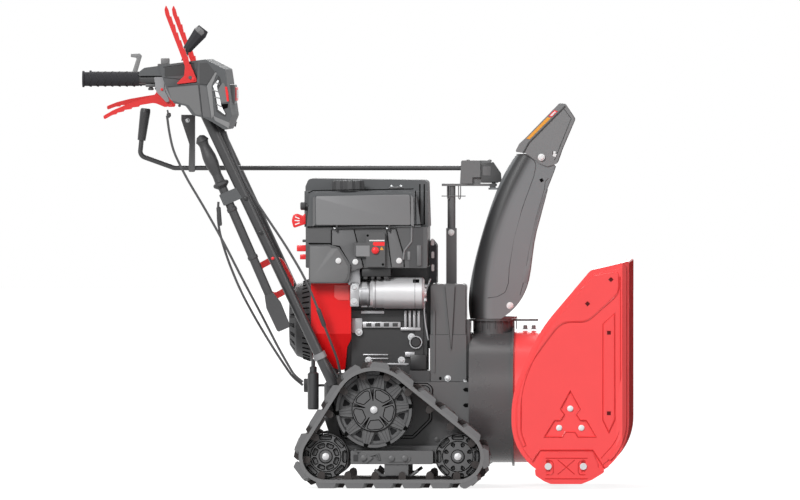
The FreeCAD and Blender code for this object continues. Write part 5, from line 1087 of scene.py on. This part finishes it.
def mast_details():
    """The gear head's screws, the mast's two hairpin clips on their rod, and a roller."""
    for number, x in enumerate((274, 328)):
        lathe("gear_screw_%d" % number, [(0, 5), (3, 5), (5, 3), (5.5, 0)], (x, 0, 811), UP, dark_plastic,
              steps=16)
    for number, x in enumerate((225, 253)):
        hairpin = at_level([(x - 2.5, 752), (x - 3, 722), (x, 716), (x + 3, 722), (x + 2.5, 752)], -12)
        lines("hairpin_%d" % number, [hairpin], 1.3, grey_paint, sides=2, curved=True)
    etched("hairpin_rod", -12, [[(208, 725), (268, 725)]], 1.2, grey_paint, sides=2)
    lathe("mast_roller_low", [(-6, 0), (-6, 7), (6, 7), (6, 0)], (335, -8, 750), RIGHT, dark_plastic,
          steps=20)


def neck_details():
    """Ribs and screws of the collar the chute turns on, and its flange's bolts."""
    ribs = [[(x, y, z) for z in (393, 414)] for x, y in circle((334, 0), 61.5, 20, 0.5)]
    lines("neck_ribs", ribs, 0.9, seam_shade)
    bolts("collar_bolts", [((x, 0, 392), UP) for x in (417, 438)], grey_paint, head=5, height=7, washer=8)


paint_chute_corner_shade()
for word, side in SIDES:
    chute_details(word, side)
    deflector_details(word, side)
for word, side in SIDES:
    gear_details(word, side)
mast_details()
neck_details()

# ---------------------------------------------------------------- bucket and skid shoes

# Distance of the bucket's sides from the middle, in mm, where their pressed lines are drawn.
BUCKET_FACE = 358.2


def bucket_details(word, side):
    """Bolts, painted shadow lines along the pressed bends and holes in painted shade on one side of the
    bucket, and painted shadow lines on the skid shoe's ribs.
    """
    # The bolt heads are white as a painted reflection of bright metal.
    side_bolts("auger_bolts_" + word, side, [(536, 355, 200), (508.3, 355, 152), (563.7, 355, 152)],
               white_film_and_painted_light, head=6.2, height=3.2, washer=7.6, washer_height=1, sides=24)
    ribs = [[(475, 77), (579, 77)], [(473, 26), (579, 26)], [(505, 73), (547, 37)], [(547, 73), (505, 37)],
            [(476, 70), (490, 70), (494, 64), (494, 42), (490, 36), (476, 36)],
            [(574, 70), (560, 70), (556, 64), (556, 42), (560, 36), (574, 36)]]
    band = [(657, 528), (657, 486, 40), (578, 415, 45), (513, 415, 50), (414, 283, 285), (414, 140, 60),
            (426, 107)]
    hood = [(657, 531), (580, 511, 4), (560, 494)]
    shoe_recess = [(441, 68), (460, 97, 5), (592, 97, 5), (620, 53)]
    rim = [(660.5, 528), (660.5, 130, 120), (612, 76)]
    field = [(617, 171), (632, 139), (647, 171), (647, 438), (617, 410)]
    bearing_recess = about((536, 168), [
        (0, 77), (-25, 31, 2), (-15, 18, 2), (-25, 3, 2), (-40, 3, 2), (-65, -39), (-19, -39, 2),
        (-12, -27, 2), (12, -27, 2), (19, -39, 2), (65, -39), (40, 3, 2), (25, 3, 2), (15, 18, 2),
        (25, 31, 2)])
    # The lines are painted shadow along the pressed steps and the skid shoe's ribs.
    for name, level, paths, radius, closed, sides in (
            ("skid_ribs_", 361, ribs, 1.5, False, 1),
            ("bucket_bends_", BUCKET_FACE, [band, hood, shoe_recess], 1.7, False, 2),
            ("bucket_rim_bend_", 358, [rim], 1.0, False, 1),
            ("bucket_fields_", BUCKET_FACE, [field, bearing_recess], 1.4, True, 2)):
        etched(name + word, side * level, [rounded(path) for path in paths], radius, red_shadow,
               closed=closed, sides=sides)
    # The holes are sheets of painted shade.
    holes = [square(centre, 4.2, turn) for centre, turn in
             (((637, 520), 45), ((579, 460), 45), ((632, 388), 0), ((632, 188), 0))]
    plate("bucket_holes_" + word, holes, levels(side, 354, 357), red_hole_shade)


# The bucket's front edge is painted darker than its sides, as shade, and the skid shoes' bolts are bare
# metal.
for enamel, axis, limit, colour in ((bucket_enamel, "X", 0.6655, (0.57, 0.030, 0.030)),
                                    (skid_enamel, "Y", 0.3613, (0.72, 0.73, 0.74))):
    tree = enamel.node_tree
    repaint(enamel, math_node(tree, "GREATER_THAN", magnitude(tree, "Object", axis), limit), colour)
for word, side in SIDES:
    bucket_details(word, side)

# ---------------------------------------------------------------- studio


def backdrop_glow(tree, strength, seen_strength):
    """Light that is one strength on the object and another where it is looked at or mirrored."""
    path = tree.nodes.new("ShaderNodeLightPath")
    seen = math_node(tree, "MAXIMUM", path.outputs["Is Camera Ray"],
                     math_node(tree, "MAXIMUM", path.outputs["Is Glossy Ray"],
                               path.outputs["Is Transmission Ray"]))
    extra = math_node(tree, "MULTIPLY", seen, seen_strength - strength)
    return math_node(tree, "ADD", extra, strength)


def light_world():
    """Even light from all round."""
    world = bpy.data.worlds.new("studio_world")
    bpy.context.scene.world = world
    world.use_nodes = True
    background = world.node_tree.nodes["Background"]
    background.inputs["Color"].default_value = (1, 1, 1, 1)
    glow = backdrop_glow(world.node_tree, strength=0.24, seen_strength=1.0)
    world.node_tree.links.new(glow, background.inputs["Strength"])


def lay_floor(reach=40, drop=0.0005):
    """A pale floor that shows white around the object's shadow; sizes in metres."""
    mesh = bpy.data.meshes.new("studio_floor")
    mesh.from_pydata([(x * reach, y * reach, -drop) for x, y in ((-1, -1), (1, -1), (1, 1), (-1, 1))], [],
                     [(0, 1, 2, 3)])
    material = bpy.data.materials.new("studio_floor")
    material.use_nodes = True
    tree = material.node_tree
    shader = tree.nodes["Principled BSDF"]
    for label, value in (("Base Color", (0.30, 0.30, 0.30, 1)), ("Roughness", 1.0),
                         ("Specular IOR Level", 0.0), ("Emission Color", (1, 1, 1, 1))):
        shader.inputs[label].default_value = value
    tree.links.new(backdrop_glow(tree, strength=0.0, seen_strength=0.84), shader.inputs["Emission Strength"])
    mesh.materials.append(material)
    loose("studio_floor", mesh)


def hang_suns():
    """Soft suns, each with the way it shines, its strength and its spread in degrees."""
    for name, toward, power, spread in (
            ("key_sun", (0.42, 0.86, -0.52), 2.35, 22),
            ("side_sun", (-0.80, 0.62, -0.20), 0.55, 30),
            ("top_sun", (-0.10, -0.35, -1.0), 1.15, 45),
            ("rear_sun", (0.15, -1.0, -0.45), 1.30, 30)):
        lamp = bpy.data.lights.new(name, "SUN")
        lamp.energy = power
        lamp.angle = math.radians(spread)
        holder = loose(name, lamp)
        holder.rotation_euler = Vector(toward).to_track_quat("-Z", "Y").to_euler()


def place_camera():
    """A very long lens square to the machine's right side, with 2 m of view across."""
    view_width, lens, sensor = 2.0, 1000.0, 36.0
    distance = view_width * lens / sensor
    aim = Vector((0.1037, 0, 0.590))
    look = Vector((-0.0262, 1, -0.0105)).normalized()
    camera = bpy.data.cameras.new("camera")
    camera.lens, camera.sensor_width = lens, sensor
    camera.clip_end = 200
    eye = loose("camera", camera)
    eye.location = aim - look * distance
    eye.rotation_euler = look.to_track_quat("-Z", "Y").to_euler()
    bpy.context.scene.camera = eye
    bpy.context.scene.view_settings.view_transform = "Standard"


light_world()
lay_floor()
hang_suns()
place_camera()
